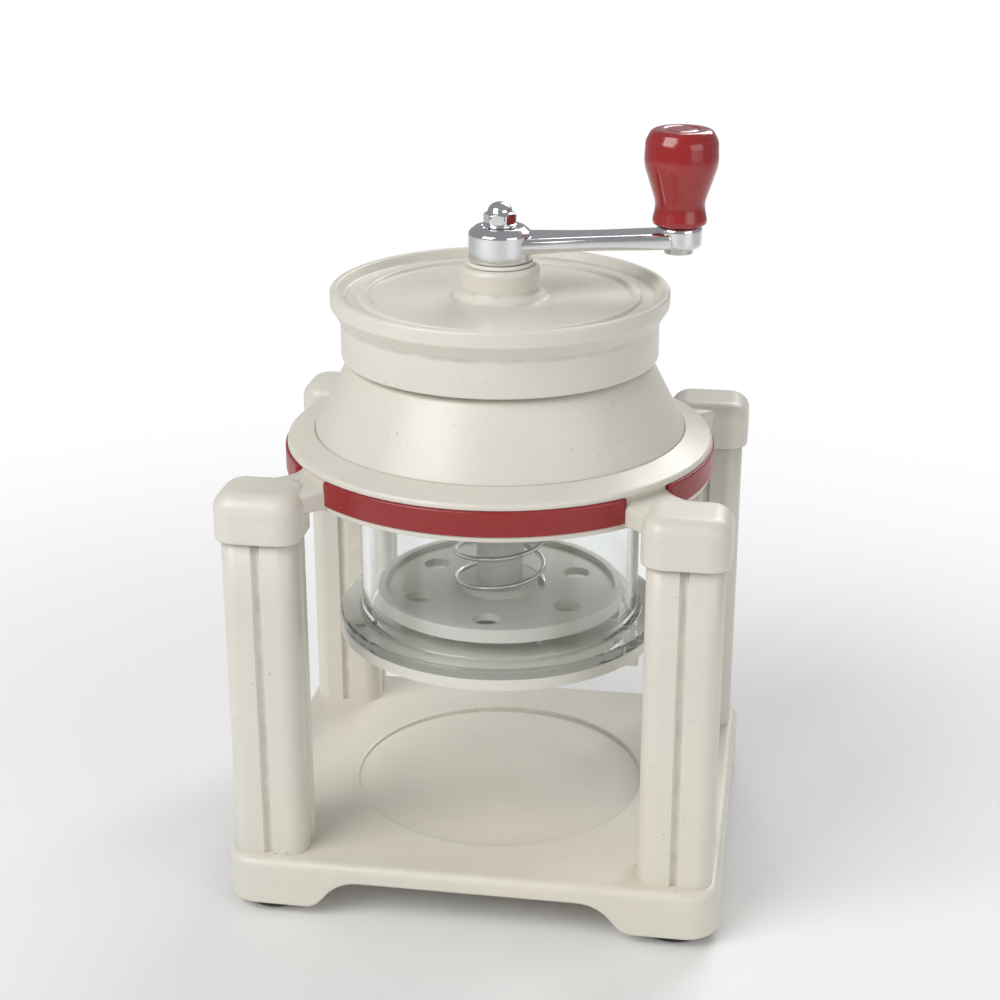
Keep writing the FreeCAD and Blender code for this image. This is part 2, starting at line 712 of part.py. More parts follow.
def make_blade_plate():
    """Floor disc with the blade's tilted seat and an upright throat in front of the edge."""
    disc = turned("plate_disc", [
        ("0", "plate_foot"),
        ("drum_flange_radius", "plate_foot"),
        ("drum_flange_radius", "drum_floor_height"),
        ("0", "drum_floor_height"),
    ])
    wide = "blade_length + 2 * blade_side_gap"
    start = "blade_start - blade_side_gap"
    seat = tilted_slab("plate_seat", start, wide, "-cut_margin", "blade_width + cut_margin",
                       "-2 * blade_thickness", "0")
    throat = document.addObject("Part::Box", "plate_throat")
    bind(throat, Length=wide, Width="throat_width + cut_margin", Height="2 * plate_height",
         Placement__Base__x=start, Placement__Base__y="blade_edge_y - cut_margin",
         Placement__Base__z="plate_foot - plate_height / 2")
    tools = [seat, throat]
    for number, turn in enumerate(screw_spots()):
        tools.append(cylinder(f"plate_hole_{number}", f"drum_screw_ring * cos({turn})",
                              f"drum_screw_ring * sin({turn})", "plate_foot",
                              "small_screw_radius + hole_gap", "plate_height"))
    for number, x in enumerate(holder_ends()):
        tools.append(cylinder(f"plate_blade_hole_{number}", x, HOLDER_SCREW_Y, "plate_foot",
                              "small_screw_radius + hole_gap", "plate_height - holder_hole_skin"))
    keep("blade_plate", cut("blade_plate", disc, tools))


HOLDER_SCREW_Y = "blade_edge_y - (holder_back + holder_front) / 2"


def holder_ends():
    """The two places along the blade, beyond its ends, where the holder is screwed up."""
    return "blade_start - holder_ear / 2", "blade_start + blade_length + holder_ear / 2"


def make_blade():
    """Flat steel blade, ground to its edge on the underside."""
    slab = tilted_slab("blade_blank", "blade_start", "blade_length", "0", "blade_width",
                       "-blade_thickness", "0")
    bevel = document.addObject("Part::Box", "blade_bevel")
    bevel.Placement = FreeCAD.Placement(VECTOR(0, 0, 0), FreeCAD.Rotation(VECTOR(1, 0, 0), 1))
    bind(bevel, Length="blade_length + 2", Width="4 * blade_thickness",
         Height="4 * blade_thickness", Placement__Base__x="blade_start - 1",
         Placement__Base__y="blade_edge_y", Placement__Base__z="blade_edge_z",
         Placement__Rotation__Angle="blade_angle + bevel_turn")
    keep("shaving_blade", cut("shaving_blade", slab, [bevel]))


def make_blade_holder():
    """Wedge bar under the plate that clamps the blade up into its seat."""
    bar = document.addObject("Part::Box", "holder_bar")
    bind(bar, Length="blade_length + 2 * holder_ear", Width="holder_back - holder_front",
         Height="holder_height", Placement__Base__x="blade_start - holder_ear",
         Placement__Base__y="blade_edge_y - holder_back",
         Placement__Base__z="plate_foot - holder_height")
    seat = tilted_slab("holder_seat", "blade_start - blade_side_gap",
                       "blade_length + 2 * blade_side_gap", "-20", "blade_width + 20",
                       "-blade_thickness - hole_gap", "20")
    tools = [seat]
    for number, x in enumerate(holder_ends()):
        tools.append(cylinder(f"holder_hole_{number}", x, HOLDER_SCREW_Y,
                              "plate_foot - holder_height", "small_screw_radius + hole_gap",
                              "holder_height"))
    keep("blade_holder", cut("blade_holder", bar, tools))


def make_blade_screws():
    screws = []
    for number, x in enumerate(holder_ends()):
        seat = "plate_foot - holder_height"
        tip = f"{seat} + holder_height + plate_height - 1"
        body = turned(f"blade_screw_{number}", [
            ("0", f"{seat} - small_head_height"),
            ("small_head_radius", f"{seat} - small_head_height"),
            ("small_head_radius", seat),
            ("small_screw_radius", seat),
            ("small_screw_radius", tip),
            ("0", tip),
        ])
        screws.append(place(body, x, HOLDER_SCREW_Y))
    keep("blade_screws", group("blade_screws", screws))


# Cover ------------------------------------------------------------------------------

def make_cover():
    """Saucer-shaped lid with a raised double rim and a centre boss, on a threaded ring."""
    bore = "bush_radius"
    bead_in = "cover_bead_radius - cover_bead_width / 2"
    bead_out = "cover_bead_radius + cover_bead_width / 2"
    rim_top = "cover_top + cover_dish_rise"
    lid = turned("cover", [
        (bore, "cover_under"),
        ("cover_seam_radius", "cover_under"),
        ("cover_dish_radius", "cover_under + cover_top_wall / 3"),
        ("cover_dish_radius", rim_top),
        ("cover_dish_radius - cover_lip", rim_top),
        ("cover_dish_radius - 2 * cover_lip", "cover_top"),
        (bead_out, "cover_top"),
        (bead_out, "cover_top + cover_bead_rise"),
        (bead_in, "cover_top + cover_bead_rise"),
        (bead_in, "cover_top"),
        ("cover_boss_radius", "cover_top"),
        ("cover_boss_radius", "boss_top"),
        (bore, "boss_top"),
    ])
    round_rings(lid, [("cover_dish_radius", rim_top),
                      ("cover_dish_radius - cover_lip", rim_top)], "cover_lip_round")
    round_rings(lid, [("cover_boss_radius", "boss_top")], "cover_boss_round")
    keep("cover", lid)
    ring = turned("cover_ring_wall", [
        ("skirt_radius", "cover_skirt_height"),
        ("skirt_outer_radius", "cover_skirt_height"),
        ("skirt_outer_radius", "cover_under - cover_flare"),
        ("cover_seam_radius", "cover_under"),
        ("skirt_radius", "cover_under"),
    ])
    ribs = thread_ribs("cover_rib", "skirt_radius", "cover_rib_crest", "-thread_bite",
                       "neck_rib_z - flank_step", "cover_rib_rise")
    keep("cover_ring", fuse("cover_ring", [ring] + ribs))
    seal_outer = "drum_inner_radius + seal_width"
    keep("cover_seal", turned("cover_seal", [
        ("drum_inner_radius", "neck_height + seal_gap"),
        (seal_outer, "neck_height + seal_gap"),
        (seal_outer, "cover_under"),
        ("drum_inner_radius", "cover_under"),
    ]))
    bush_bore = "journal_radius + running_gap"
    keep("spindle_bush", turned("spindle_bush", [
        (bush_bore, "bush_flange_foot"),
        ("bush_flange_radius", "bush_flange_foot"),
        ("bush_flange_radius", "bush_foot"),
        ("bush_radius - hole_gap", "bush_foot"),
        ("bush_radius - hole_gap", "boss_top"),
        (bush_bore, "boss_top"),
    ]))


# Crank and spindle ------------------------------------------------------------------

def make_thrust_washer():
    keep("thrust_washer", turned("thrust_washer", [
        ("journal_radius + 3 * running_gap", "washer_foot"),
        ("washer_radius", "washer_foot"),
        ("washer_radius", "washer_foot + washer_height"),
        ("journal_radius + 3 * running_gap", "washer_foot + washer_height"),
    ]))


def hexagon(flat):
    """Corners of a hexagon whose flats lie at a given distance from its centre."""
    reach = f"({flat}) / cos(30deg)"
    return [(f"{reach} * cos({60 * n}deg)", f"{reach} * sin({60 * n}deg)") for n in range(6)]


def make_spindle():
    """Hexagon shaft below, round journal, square drive and a threaded stud on top."""
    body = turned("spindle", [
        ("0", "cup_foot"),
        ("journal_radius", "cup_foot"),
        ("journal_radius", "clip_foot"),
        ("journal_radius - clip_groove", "clip_foot"),
        ("journal_radius - clip_groove", "clip_top"),
        ("journal_radius", "clip_top"),
        ("journal_radius", "hub_foot"),
        ("stud_radius", "hub_foot"),
        ("stud_radius", "hub_top + stud_height"),
        ("0", "hub_top + stud_height"),
    ])
    shaft = draw_polygon(new_sketch(body, "XY_Plane", "hex_foot_height"), hexagon("hex_flat"))
    pad(body, shaft, "cup_foot - hex_foot_height")
    drive = draw_box(new_sketch(body, "XY_Plane", "hub_foot"), "0", "0", "spindle_square",
                     "spindle_square")
    pad(body, drive, "hub_height - drive_gap")
    half = "cross_pin_radius + running_gap"
    foot = "cross_pin_z - cross_pin_radius - slot_gap"
    top = "cross_pin_z + cross_pin_radius + slot_gap + presser_travel"
    slot = draw_polygon(new_sketch(body), [
        (f"-({half})", foot),
        (half, foot),
        (half, top),
        (f"-({half})", top),
    ])
    pocket(body, slot, "4 * journal_radius", both_ways=True)
    keep("spindle", place(body, turn="crank_angle"))


def make_retaining_parts():
    keep("retaining_clip", turned("retaining_clip", [
        ("journal_radius - clip_groove + hole_gap", "clip_foot + hole_gap"),
        ("clip_radius", "clip_foot + hole_gap"),
        ("clip_radius", "clip_top - hole_gap"),
        ("journal_radius - clip_groove + hole_gap", "clip_top - hole_gap"),
    ]))
    inner = "spring_radius + 2 * spring_wire + spring_gap"
    keep("spring_cup", turned("spring_cup", [
        ("journal_radius + hole_gap", "cup_foot + cup_height - cup_floor"),
        (inner, "cup_foot + cup_height - cup_floor"),
        (inner, "cup_foot"),
        (f"{inner} + cup_lip", "cup_foot"),
        (f"{inner} + cup_lip", "cup_foot + cup_height"),
        ("cup_hub_radius", "cup_foot + cup_height"),
        ("cup_hub_radius", "clip_foot"),
        ("journal_radius + hole_gap", "clip_foot"),
    ]))


def make_crank_arm():
    """Tapered arm between a hub on the spindle and a boss that holds the knob's pin."""
    body = turned("crank_arm", [
        ("0", "hub_foot"),
        ("hub_radius", "hub_foot"),
        ("hub_radius", "hub_top"),
        ("0", "hub_top"),
    ])
    round_rings(body, [("hub_radius", "hub_top")], "arm_edge * 2")
    arm = draw_polygon(new_sketch(body, "XY_Plane", "arm_foot"), [
        ("0", "-arm_hub_width / 2"),
        ("crank_radius", "-arm_end_radius + arm_edge"),
        ("crank_radius", "arm_end_radius - arm_edge"),
        ("0", "arm_hub_width / 2"),
    ])
    pad(body, arm, "arm_thickness")
    boss = draw_circle(new_sketch(body, "XY_Plane", "arm_foot"), "crank_radius", "0",
                       "arm_end_radius")
    pad(body, boss, "arm_end_height")
    drive = draw_box(new_sketch(body, "XY_Plane", "hub_top"), "0", "0",
                     "spindle_square + 2 * hole_gap", "spindle_square + 2 * hole_gap")
    pocket(body, drive, "hub_height")
    bore = draw_circle(new_sketch(body, "XY_Plane", "arm_end_top"), "crank_radius", "0",
                       "pin_radius + hole_gap")
    pocket(body, bore, "arm_end_height")
    keep("crank_arm", place(body, turn="crank_angle"))


def make_hub_nut():
    """Hexagon cap nut with a domed crown, on a flange that covers the square drive."""
    body = turned("hub_nut", [
        ("stud_radius + hole_gap", "hub_top"),
        ("nut_flat + nut_flange", "hub_top"),
        ("nut_flat + nut_flange", "hub_top + nut_flange"),
        ("nut_dome_radius", "hub_top + nut_flange"),
        ("nut_dome_radius", "hub_top + nut_height + nut_dome_height / 3"),
        ("nut_crown_radius", "hub_top + nut_height + nut_crown_rise"),
        ("nut_tip_radius", "hub_top + nut_height + nut_dome_height"),
        ("0", "hub_top + nut_height + nut_dome_height"),
        ("0", "hub_top + stud_height + hole_gap"),
        ("stud_radius + hole_gap", "hub_top + stud_height + hole_gap"),
    ])
    ring = new_sketch(body, "XY_Plane", "hub_top + nut_flange")
    draw_polygon(ring, hexagon("nut_flat"))
    draw_circle(ring, "0", "0", "stud_radius + hole_gap")
    pad(body, ring, "nut_height - nut_flange")
    keep("hub_nut", body)


CRANK_END = ("crank_radius * cos(crank_angle * 1deg)", "crank_radius * sin(crank_angle * 1deg)")


def make_knob():
    """Waisted knob that spins on a headed pin, closed by a snap-in cap."""
    pin = turned("knob_pin", [
        ("0", "arm_foot - pin_head_height"),
        ("pin_head_radius", "arm_foot - pin_head_height"),
        ("pin_head_radius", "arm_foot"),
        ("pin_radius", "arm_foot"),
        ("pin_radius", "knob_well_foot + knob_gap"),
        ("pin_head_radius", "knob_well_foot + knob_gap"),
        ("pin_head_radius", "knob_well_foot + knob_gap + pin_head_height"),
        ("0", "knob_well_foot + knob_gap + pin_head_height"),
    ])
    keep("knob_pin", place(pin, *CRANK_END))
    bore = "pin_radius + running_gap"
    knob = turned("crank_knob", [
        (bore, "knob_foot"),
        ("knob_foot_radius", "knob_foot"),
        ("knob_waist_radius", "knob_foot + knob_waist_rise"),
        ("knob_belly_radius", "knob_foot + knob_belly_rise"),
        ("knob_belly_radius", "knob_foot + (knob_belly_rise + knob_height) / 2"),
        ("knob_top_radius", "knob_top"),
        ("knob_well_radius", "knob_top"),
        ("knob_well_radius", "knob_well_foot"),
        (bore, "knob_well_foot"),
    ])
    belly = "knob_foot + (knob_belly_rise + knob_height) / 2"
    round_rings(knob, [("knob_waist_radius", "knob_foot + knob_waist_rise"),
                       ("knob_belly_radius", "knob_foot + knob_belly_rise"),
                       ("knob_belly_radius", belly)], "knob_round")
    keep("crank_knob", place(knob, *CRANK_END))
    cap = turned("knob_cap", [
        ("0", "knob_top - knob_cap_height"),
        ("knob_well_radius - hole_gap", "knob_top - knob_cap_height"),
        ("knob_well_radius - hole_gap", "knob_top"),
        ("0", "knob_top"),
    ])
    round_rings(cap, [("knob_well_radius - hole_gap", "knob_top")], "knob_cap_round")
    keep("knob_cap", place(cap, *CRANK_END))


# Presser ----------------------------------------------------------------------------

def make_presser():
    """Plate that pins the ice, on a hexagon sleeve that slides on the spindle."""
    rib_in = "presser_radius - presser_rib_width"
    plate = turned("presser_disc", [
        ("stem_radius", "presser_foot"),
        ("presser_radius", "presser_foot"),
        ("presser_radius", "presser_top + presser_rib_rise"),
        (rib_in, "presser_top + presser_rib_rise"),
        (rib_in, "presser_top"),
        ("stem_radius", "presser_top"),
    ])
    tools = []
    for number in range(6):
        turn = f"{60 * number + 30} * 1deg"
        tools.append(cylinder(f"presser_vent_{number}", f"presser_vent_ring * cos({turn})",
                              f"presser_vent_ring * sin({turn})", "presser_foot",
                              "presser_vent_radius", "presser_height"))
    for number, (ring, turn) in enumerate(spike_spots()):
        tools.append(cylinder(f"spike_hole_{number}", f"{ring} * cos({turn})",
                              f"{ring} * sin({turn})", "presser_foot", "spike_radius",
                              "spike_root"))
    keep("presser_plate", cut("presser_plate", plate, tools))
    stem = turned("presser_stem", [
        ("0", "presser_foot"),
        ("stem_radius - hole_gap", "presser_foot"),
        ("stem_radius - hole_gap", "presser_top"),
        ("stem_foot_radius", "presser_top"),
        ("stem_foot_radius", "presser_top + stem_foot_height"),
        ("stem_radius", "presser_top + stem_foot_height"),
        ("stem_radius", "stem_top"),
        ("0", "stem_top"),
    ])
    socket = new_sketch(stem, "XY_Plane", "stem_top")
    draw_polygon(socket, hexagon("hex_flat + hex_gap"))
    pocket(stem, socket, "stem_length")
    hole = draw_circle(new_sketch(stem), "0", "cross_pin_z", "cross_pin_radius + hole_gap")
    pocket(stem, hole, "4 * stem_radius", both_ways=True)
    keep("presser_stem", place(stem, turn="crank_angle"))
    pin = new_body("stem_pin")
    section = draw_circle(new_sketch(pin), "0", "cross_pin_z", "cross_pin_radius")
    pad(pin, section, "2 * stem_radius - 4 * hole_gap", both_ways=True)
    keep("stem_pin", place(pin, turn="crank_angle"))


def spike_spots():
    spots = []
    for number in range(3):
        spots.append(("spike_ring_inner", f"{120 * number} * 1deg"))
        spots.append(("spike_ring_outer", f"{120 * number + 60} * 1deg"))
        spots.append(("spike_ring_outer", f"{120 * number + 120} * 1deg"))
    return spots


def make_spikes():
    spikes = []
    for number, (ring, turn) in enumerate(spike_spots()):
        body = turned(f"spike_{number}", [
            ("0", "presser_foot - spike_length"),
            ("spike_tip", "presser_foot - spike_length"),
            ("spike_radius - hole_gap", "presser_foot"),
            ("spike_radius - hole_gap", "presser_foot + spike_root"),
            ("0", "presser_foot + spike_root"),
        ])
        spikes.append(place(body, f"{ring} * cos({turn})", f"{ring} * sin({turn})"))
    keep("presser_spikes", group("presser_spikes", spikes))


def make_spring():
    """Open coil between the presser's foot flange and the cup under the cover."""
    helix = document.addObject("Part::Helix", "spring_line")
    length = "spring_top - spring_foot - 2 * spring_wire"
    bind(helix, Radius="spring_radius", Height=length, Pitch=f"({length}) / spring_turns",
         Placement__Base__z="spring_foot + spring_wire")
    wire = document.addObject("Part::Circle", "spring_section")
    wire.Placement = FreeCAD.Placement(VECTOR(0, 0, 0), FreeCAD.Rotation(VECTOR(1, 0, 0), 90))
    bind(wire, Radius="spring_wire", Placement__Base__x="spring_radius",
         Placement__Base__z="spring_foot + spring_wire")
    coil = document.addObject("Part::Sweep", "presser_spring")
    coil.Sections = [wire]
    coil.Spine = (helix, [])
    coil.Solid = True
    coil.Frenet = True
    keep("presser_spring", coil)


MAKERS = [
    make_base_frame, make_foot_pads, make_posts, make_tie_screws, make_deck_ring,
    make_neck, make_collar_band, make_ice_drum, make_small_screws, make_blade_plate,
    make_blade, make_blade_holder, make_blade_screws, make_cover, make_thrust_washer,
    make_spindle, make_retaining_parts, make_crank_arm, make_hub_nut, make_knob,
    make_presser, make_spikes, make_spring,
]


def check_document():
    """Every object recomputed, and every node a valid solid or group of solids."""
    for item in document.Objects:
        if "Invalid" in item.State or "Error" in item.State:
            raise RuntimeError(f"{item.Label} failed: {item.State}")
    for node, item in NODES.items():
        shape = item.Shape
        if shape.isNull() or not shape.isValid() or not shape.Solids:
            raise RuntimeError(f"{node} is not a valid solid")


def write_nodes():
    os.makedirs("parts", exist_ok=True)
    for node, item in sorted(NODES.items()):
        item.Label = node
        item.Shape.exportStep(f"parts/{node}.step")
        bounds = item.Shape.BoundBox
        print(f"{node:22s} {len(item.Shape.Solids)} solid  {item.Shape.Volume:10.1f} mm3  "
              f"z {bounds.ZMin:7.2f} {bounds.ZMax:7.2f}  x {bounds.XMin:7.2f} {bounds.XMax:7.2f}")


for make in MAKERS:
    make()
document.recompute()
check_document()
write_nodes()
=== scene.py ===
import math

import bpy
import numpy as np
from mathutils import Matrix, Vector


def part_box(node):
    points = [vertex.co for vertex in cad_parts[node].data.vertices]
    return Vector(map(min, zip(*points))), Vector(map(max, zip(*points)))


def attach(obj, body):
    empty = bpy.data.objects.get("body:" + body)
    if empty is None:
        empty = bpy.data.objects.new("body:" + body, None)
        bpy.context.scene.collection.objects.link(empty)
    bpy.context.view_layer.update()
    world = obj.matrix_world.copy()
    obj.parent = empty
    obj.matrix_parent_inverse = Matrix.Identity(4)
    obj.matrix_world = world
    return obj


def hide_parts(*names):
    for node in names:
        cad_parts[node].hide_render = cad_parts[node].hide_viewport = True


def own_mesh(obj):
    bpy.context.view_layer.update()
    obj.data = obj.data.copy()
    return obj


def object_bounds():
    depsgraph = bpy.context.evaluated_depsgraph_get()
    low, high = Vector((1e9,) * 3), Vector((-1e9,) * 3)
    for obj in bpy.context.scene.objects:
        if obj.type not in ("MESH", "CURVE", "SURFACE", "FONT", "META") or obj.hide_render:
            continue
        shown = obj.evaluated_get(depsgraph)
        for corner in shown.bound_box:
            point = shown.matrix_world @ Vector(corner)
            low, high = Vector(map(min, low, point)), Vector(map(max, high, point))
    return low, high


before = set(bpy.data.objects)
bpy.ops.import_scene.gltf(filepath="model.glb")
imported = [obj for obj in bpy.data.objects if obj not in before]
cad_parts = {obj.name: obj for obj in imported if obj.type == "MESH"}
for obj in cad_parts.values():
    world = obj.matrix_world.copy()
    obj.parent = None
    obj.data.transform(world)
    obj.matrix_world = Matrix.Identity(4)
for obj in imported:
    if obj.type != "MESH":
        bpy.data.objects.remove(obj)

bl_info = {
    "name": "Ice shaver",
    "version": (1, 0, 0),
    "blender": (4, 5, 0),
    "location": "3D View > Sidebar > Ice shaver",
    "description": "Dresses the pieces of a hand-cranked ice shaver",
    "category": "Object",
}

# Lengths in this file are millimetres until a mesh is made; MM turns them into metres.
MM = 0.001
CAD_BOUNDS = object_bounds()


def cad(node):
    """A node's lowest and highest corner, in millimetres."""
    low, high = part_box(node)
    return np.array(low) / MM, np.array(high) / MM


# Settings ---------------------------------------------------------------------------

def colour(name, description, value):
    return bpy.props.FloatVectorProperty(name=name, description=description, default=value,
                                         subtype="COLOR", size=3, min=0.0, max=1.0)


def number(name, description, value, **more):
    return bpy.props.FloatProperty(name=name, description=description, default=value, **more)


def count(name, description, value):
    return bpy.props.IntProperty(name=name, description=description, default=value, min=3)


class ShaverColours(bpy.types.PropertyGroup):
    shell: colour("Shell", "Off-white moulded plastic", (0.72, 0.685, 0.605))
    trim: colour("Trim", "Strips round the deck", (0.30, 0.018, 0.018))
    knob: colour("Knob", "Glossy crank knob", (0.32, 0.012, 0.012))
    drum: colour("Drum", "Smoky clear drum", (0.965, 0.985, 0.985))
    # Paler than the shell: partly the parts' own plastic and partly painted light that lifts the
    # presser and blade plate out of the drum's shade.
    inner: colour("Inner plastic", "Presser and blade plate", (0.74, 0.715, 0.645))
    nylon: colour("Nylon", "Bush and washer", (0.82, 0.79, 0.70))
    rubber: colour("Rubber", "Feet", (0.035, 0.034, 0.033))
    seal: colour("Seal", "Ring under the cover", (0.55, 0.54, 0.51))
    chrome: colour("Chrome", "Crank arm and cap nut", (0.78, 0.78, 0.79))
    steel: colour("Steel", "Spindle, pins and blade", (0.60, 0.60, 0.60))
    zinc: colour("Zinc", "Screws and spring cup", (0.55, 0.55, 0.52))
    floor: colour("Floor", "Table top", (0.86, 0.86, 0.85))


class ShaverDetails(bpy.types.PropertyGroup):
    turn_steps: count("Turn steps", "Faces round a turned piece", 160)
    corner_steps: count("Corner steps", "Faces across a rounded edge", 5)
    outline_steps: count("Outline steps", "Faces round a moulded outline", 192)
    edge_wear: number("Edge wear", "How far edges are rubbed pale", 0.35, min=0.0, max=1.0,
                      subtype="FACTOR")
    grain_size: number("Grain size", "Pitch of the moulded grain", 0.00045, min=0.0,
                       unit="LENGTH")
    spring_turns: number("Spring turns", "Turns of the presser spring", 9.0, min=1.0)
    azimuth: number("Azimuth", "Camera's turn round the spindle", math.radians(9.0),
                    subtype="ANGLE")
    elevation: number("Elevation", "Camera's height above level", math.radians(21.0),
                      subtype="ANGLE")
    focal_length: number("Focal length", "Camera lens, in millimetres", 70.0, min=1.0)


def colours():
    return bpy.context.scene.shaver_colours


def details():
    return bpy.context.scene.shaver_details


# Outlines and profiles --------------------------------------------------------------

# Distance from an arc of the points that keep a straight run flat, and the least turn, in
# radians, that is rounded at all.
SUPPORT = 0.25
LEAST_TURN = 0.02


def rounded_path(corners, closed):
    """Points of a polyline whose corners (x, y, radius) become tangent arcs.

    At a corner that turns by an angle a, the arc of radius f starts and ends
    f * tan(a / 2) from it.  Straight runs get a point close to each end, so that smooth
    shading stays flat between the arcs.  The second result says how far a point lies in
    an arc: 1 on a convex edge, -1 in a hollow one.
    """
    steps = details().corner_steps
    spots = np.array([corner[:2] for corner in corners], float)
    radii = [corner[2] for corner in corners]
    total = len(spots)
    following = np.roll(spots, -1, axis=0)
    area = np.sum(spots[:, 0] * following[:, 1] - following[:, 0] * spots[:, 1])
    points = []
    wear = []
    for index in range(total):
        here = spots[index]
        if not closed and index in (0, total - 1) or radii[index] <= 0:
            points.append(here[None, :])
            wear.append(np.zeros(1))
            continue
        back = spots[index - 1] - here
        ahead = spots[(index + 1) % total] - here
        back_length = np.hypot(*back)
        ahead_length = np.hypot(*ahead)
        back = back / back_length
        ahead = ahead / ahead_length
        inside = math.acos(float(np.clip(np.dot(back, ahead), -1.0, 1.0)))
        if math.pi - inside < LEAST_TURN:
            points.append(here[None, :])
            wear.append(np.zeros(1))
            continue
        reach = min(radii[index] / math.tan(inside / 2), 0.5 * back_length,
                    0.5 * ahead_length)
        radius = reach * math.tan(inside / 2)
        middle = (back + ahead) / np.hypot(*(back + ahead))
        centre = here + middle * radius / math.sin(inside / 2)
        start = here + back * reach - centre
        turn = math.pi - inside
        side = math.copysign(1.0, back[1] * ahead[0] - back[0] * ahead[1])
        angles = side * turn * np.linspace(0.0, 1.0, steps + 1)
        swept = np.stack([start[0] * np.cos(angles) - start[1] * np.sin(angles),
                          start[0] * np.sin(angles) + start[1] * np.cos(angles)], axis=1)
        points.append(centre + swept)
        convex = math.copysign(1.0, side * area)
        wear.append(convex * np.sin(np.pi * np.linspace(0.15, 0.85, steps + 1)))
    return add_supports(np.concatenate(points), np.concatenate(wear), closed)


def add_supports(points, wear, closed):
    """Put a point near both ends of every straight run long enough for two."""
    ends = len(points) if closed else len(points) - 1
    placed = []
    worn = []
    for index in range(len(points)):
        placed.append(points[index])
        worn.append(wear[index])
        if index >= ends:
            continue
        step = points[(index + 1) % len(points)] - points[index]
        length = np.hypot(*step)
        if length > 4 * SUPPORT:
            placed.append(points[index] + step * SUPPORT / length)
            placed.append(points[index] + step * (1 - SUPPORT / length))
            worn += [0.0, 0.0]
    return np.array(placed), np.array(worn)


def rounded_rectangle(half_width, half_depth, corner, steps):
    """Evenly spaced points round a rectangle with quarter-circle corners."""
    angles = np.linspace(0.0, 2 * np.pi, 4 * 64, endpoint=False) + np.pi / 256
    signs = np.stack([np.sign(np.cos(angles)), np.sign(np.sin(angles))], axis=1)
    centres = signs * np.array([half_width - corner, half_depth - corner])
    rim = centres + corner * np.stack([np.cos(angles), np.sin(angles)], axis=1)
    return even_spacing(rim, steps)


def even_spacing(rim, steps, climb=None):
    """Spread points evenly along a closed rim; where the climb changes they lie closer."""
    closed = np.concatenate([rim, rim[:1]])
    paces = np.hypot(*np.diff(closed, axis=0).T)
    if climb is not None:
        paces = np.hypot(paces, np.diff(np.append(climb, climb[0])))
    lengths = np.concatenate([[0.0], np.cumsum(paces)])
    wanted = np.linspace(0.0, lengths[-1], steps, endpoint=False)
    return np.stack([np.interp(wanted, lengths, closed[:, axis]) for axis in (0, 1)], axis=1)


def hexagon_reach(angles, flat):
    """Distance from the centre to a hexagon's side at each angle."""
    local = np.mod(angles, np.pi / 3) - np.pi / 6
    return flat / np.cos(local)


# Meshes -----------------------------------------------------------------------------

def grid_faces(rows, columns, wrap_rows, wrap_columns):
    row = np.arange(rows if wrap_rows else rows - 1)
    column = np.arange(columns if wrap_columns else columns - 1)
    first, second = np.meshgrid(row, column, indexing="ij")
    next_row = (first + 1) % rows
    next_column = (second + 1) % columns
    corners = [first * columns + second, next_row * columns + second,
               next_row * columns + next_column, first * columns + next_column]
    return np.stack([corner.ravel() for corner in corners], axis=1)


def signed_volume(points, faces):
    """A sixth of the summed triple products of each face's fan of triangles."""
    total = 0.0
    for face_set in faces:
        if not len(face_set):
            continue
        a = points[face_set[:, 0]]
        for index in range(1, face_set.shape[1] - 1):
            b = points[face_set[:, index]]
            c = points[face_set[:, index + 1]]
            total += np.sum(a * np.cross(b, c)) / 6.0
    return total


def make_mesh(name, points, faces, wear=None):
    """Object from points in millimetres; the faces are turned outward if need be."""
    points = np.asarray(points, float) * MM
    if signed_volume(points, faces) < 0:
        faces = [face_set[:, ::-1] for face_set in faces]
    mesh = bpy.data.meshes.new(name)
    listed = [face for face_set in faces for face in face_set.tolist()]
    mesh.from_pydata(points.tolist(), [], listed)
    mesh.polygons.foreach_set("use_smooth", np.ones(len(mesh.polygons), bool))
    attribute = mesh.attributes.new("wear", "FLOAT", "POINT")
    values = np.zeros(len(points)) if wear is None else wear
    attribute.data.foreach_set("value", np.asarray(values, np.float32))
    mesh.update()
    piece = bpy.data.objects.new(name, mesh)
    bpy.context.scene.collection.objects.link(piece)
    return piece


def sheet_mesh(name, grid, wrap_rows=True, wrap_columns=False, caps=False, wear=None):
    """Surface through a grid of points; rows may close round and open ends may be capped.

    With caps, the first and last column are closed by a fan round their middle.
    """
    rows, columns = grid.shape[:2]
    points = grid.reshape(-1, 3)
    worn = np.zeros(rows * columns) if wear is None else wear.reshape(-1)
    faces = [grid_faces(rows, columns, wrap_rows, wrap_columns)]
    if caps:
        first = np.arange(rows) * columns
        last = first + columns - 1
        extra = np.stack([grid[:, 0].mean(axis=0), grid[:, -1].mean(axis=0)])
        hub = len(points)
        points = np.concatenate([points, extra])
        worn = np.concatenate([worn, np.zeros(2)])
        faces.append(np.stack([np.roll(first, -1), first, np.full(rows, hub)], axis=1))
        faces.append(np.stack([last, np.roll(last, -1), np.full(rows, hub + 1)], axis=1))
    return make_mesh(name, points, faces, worn)


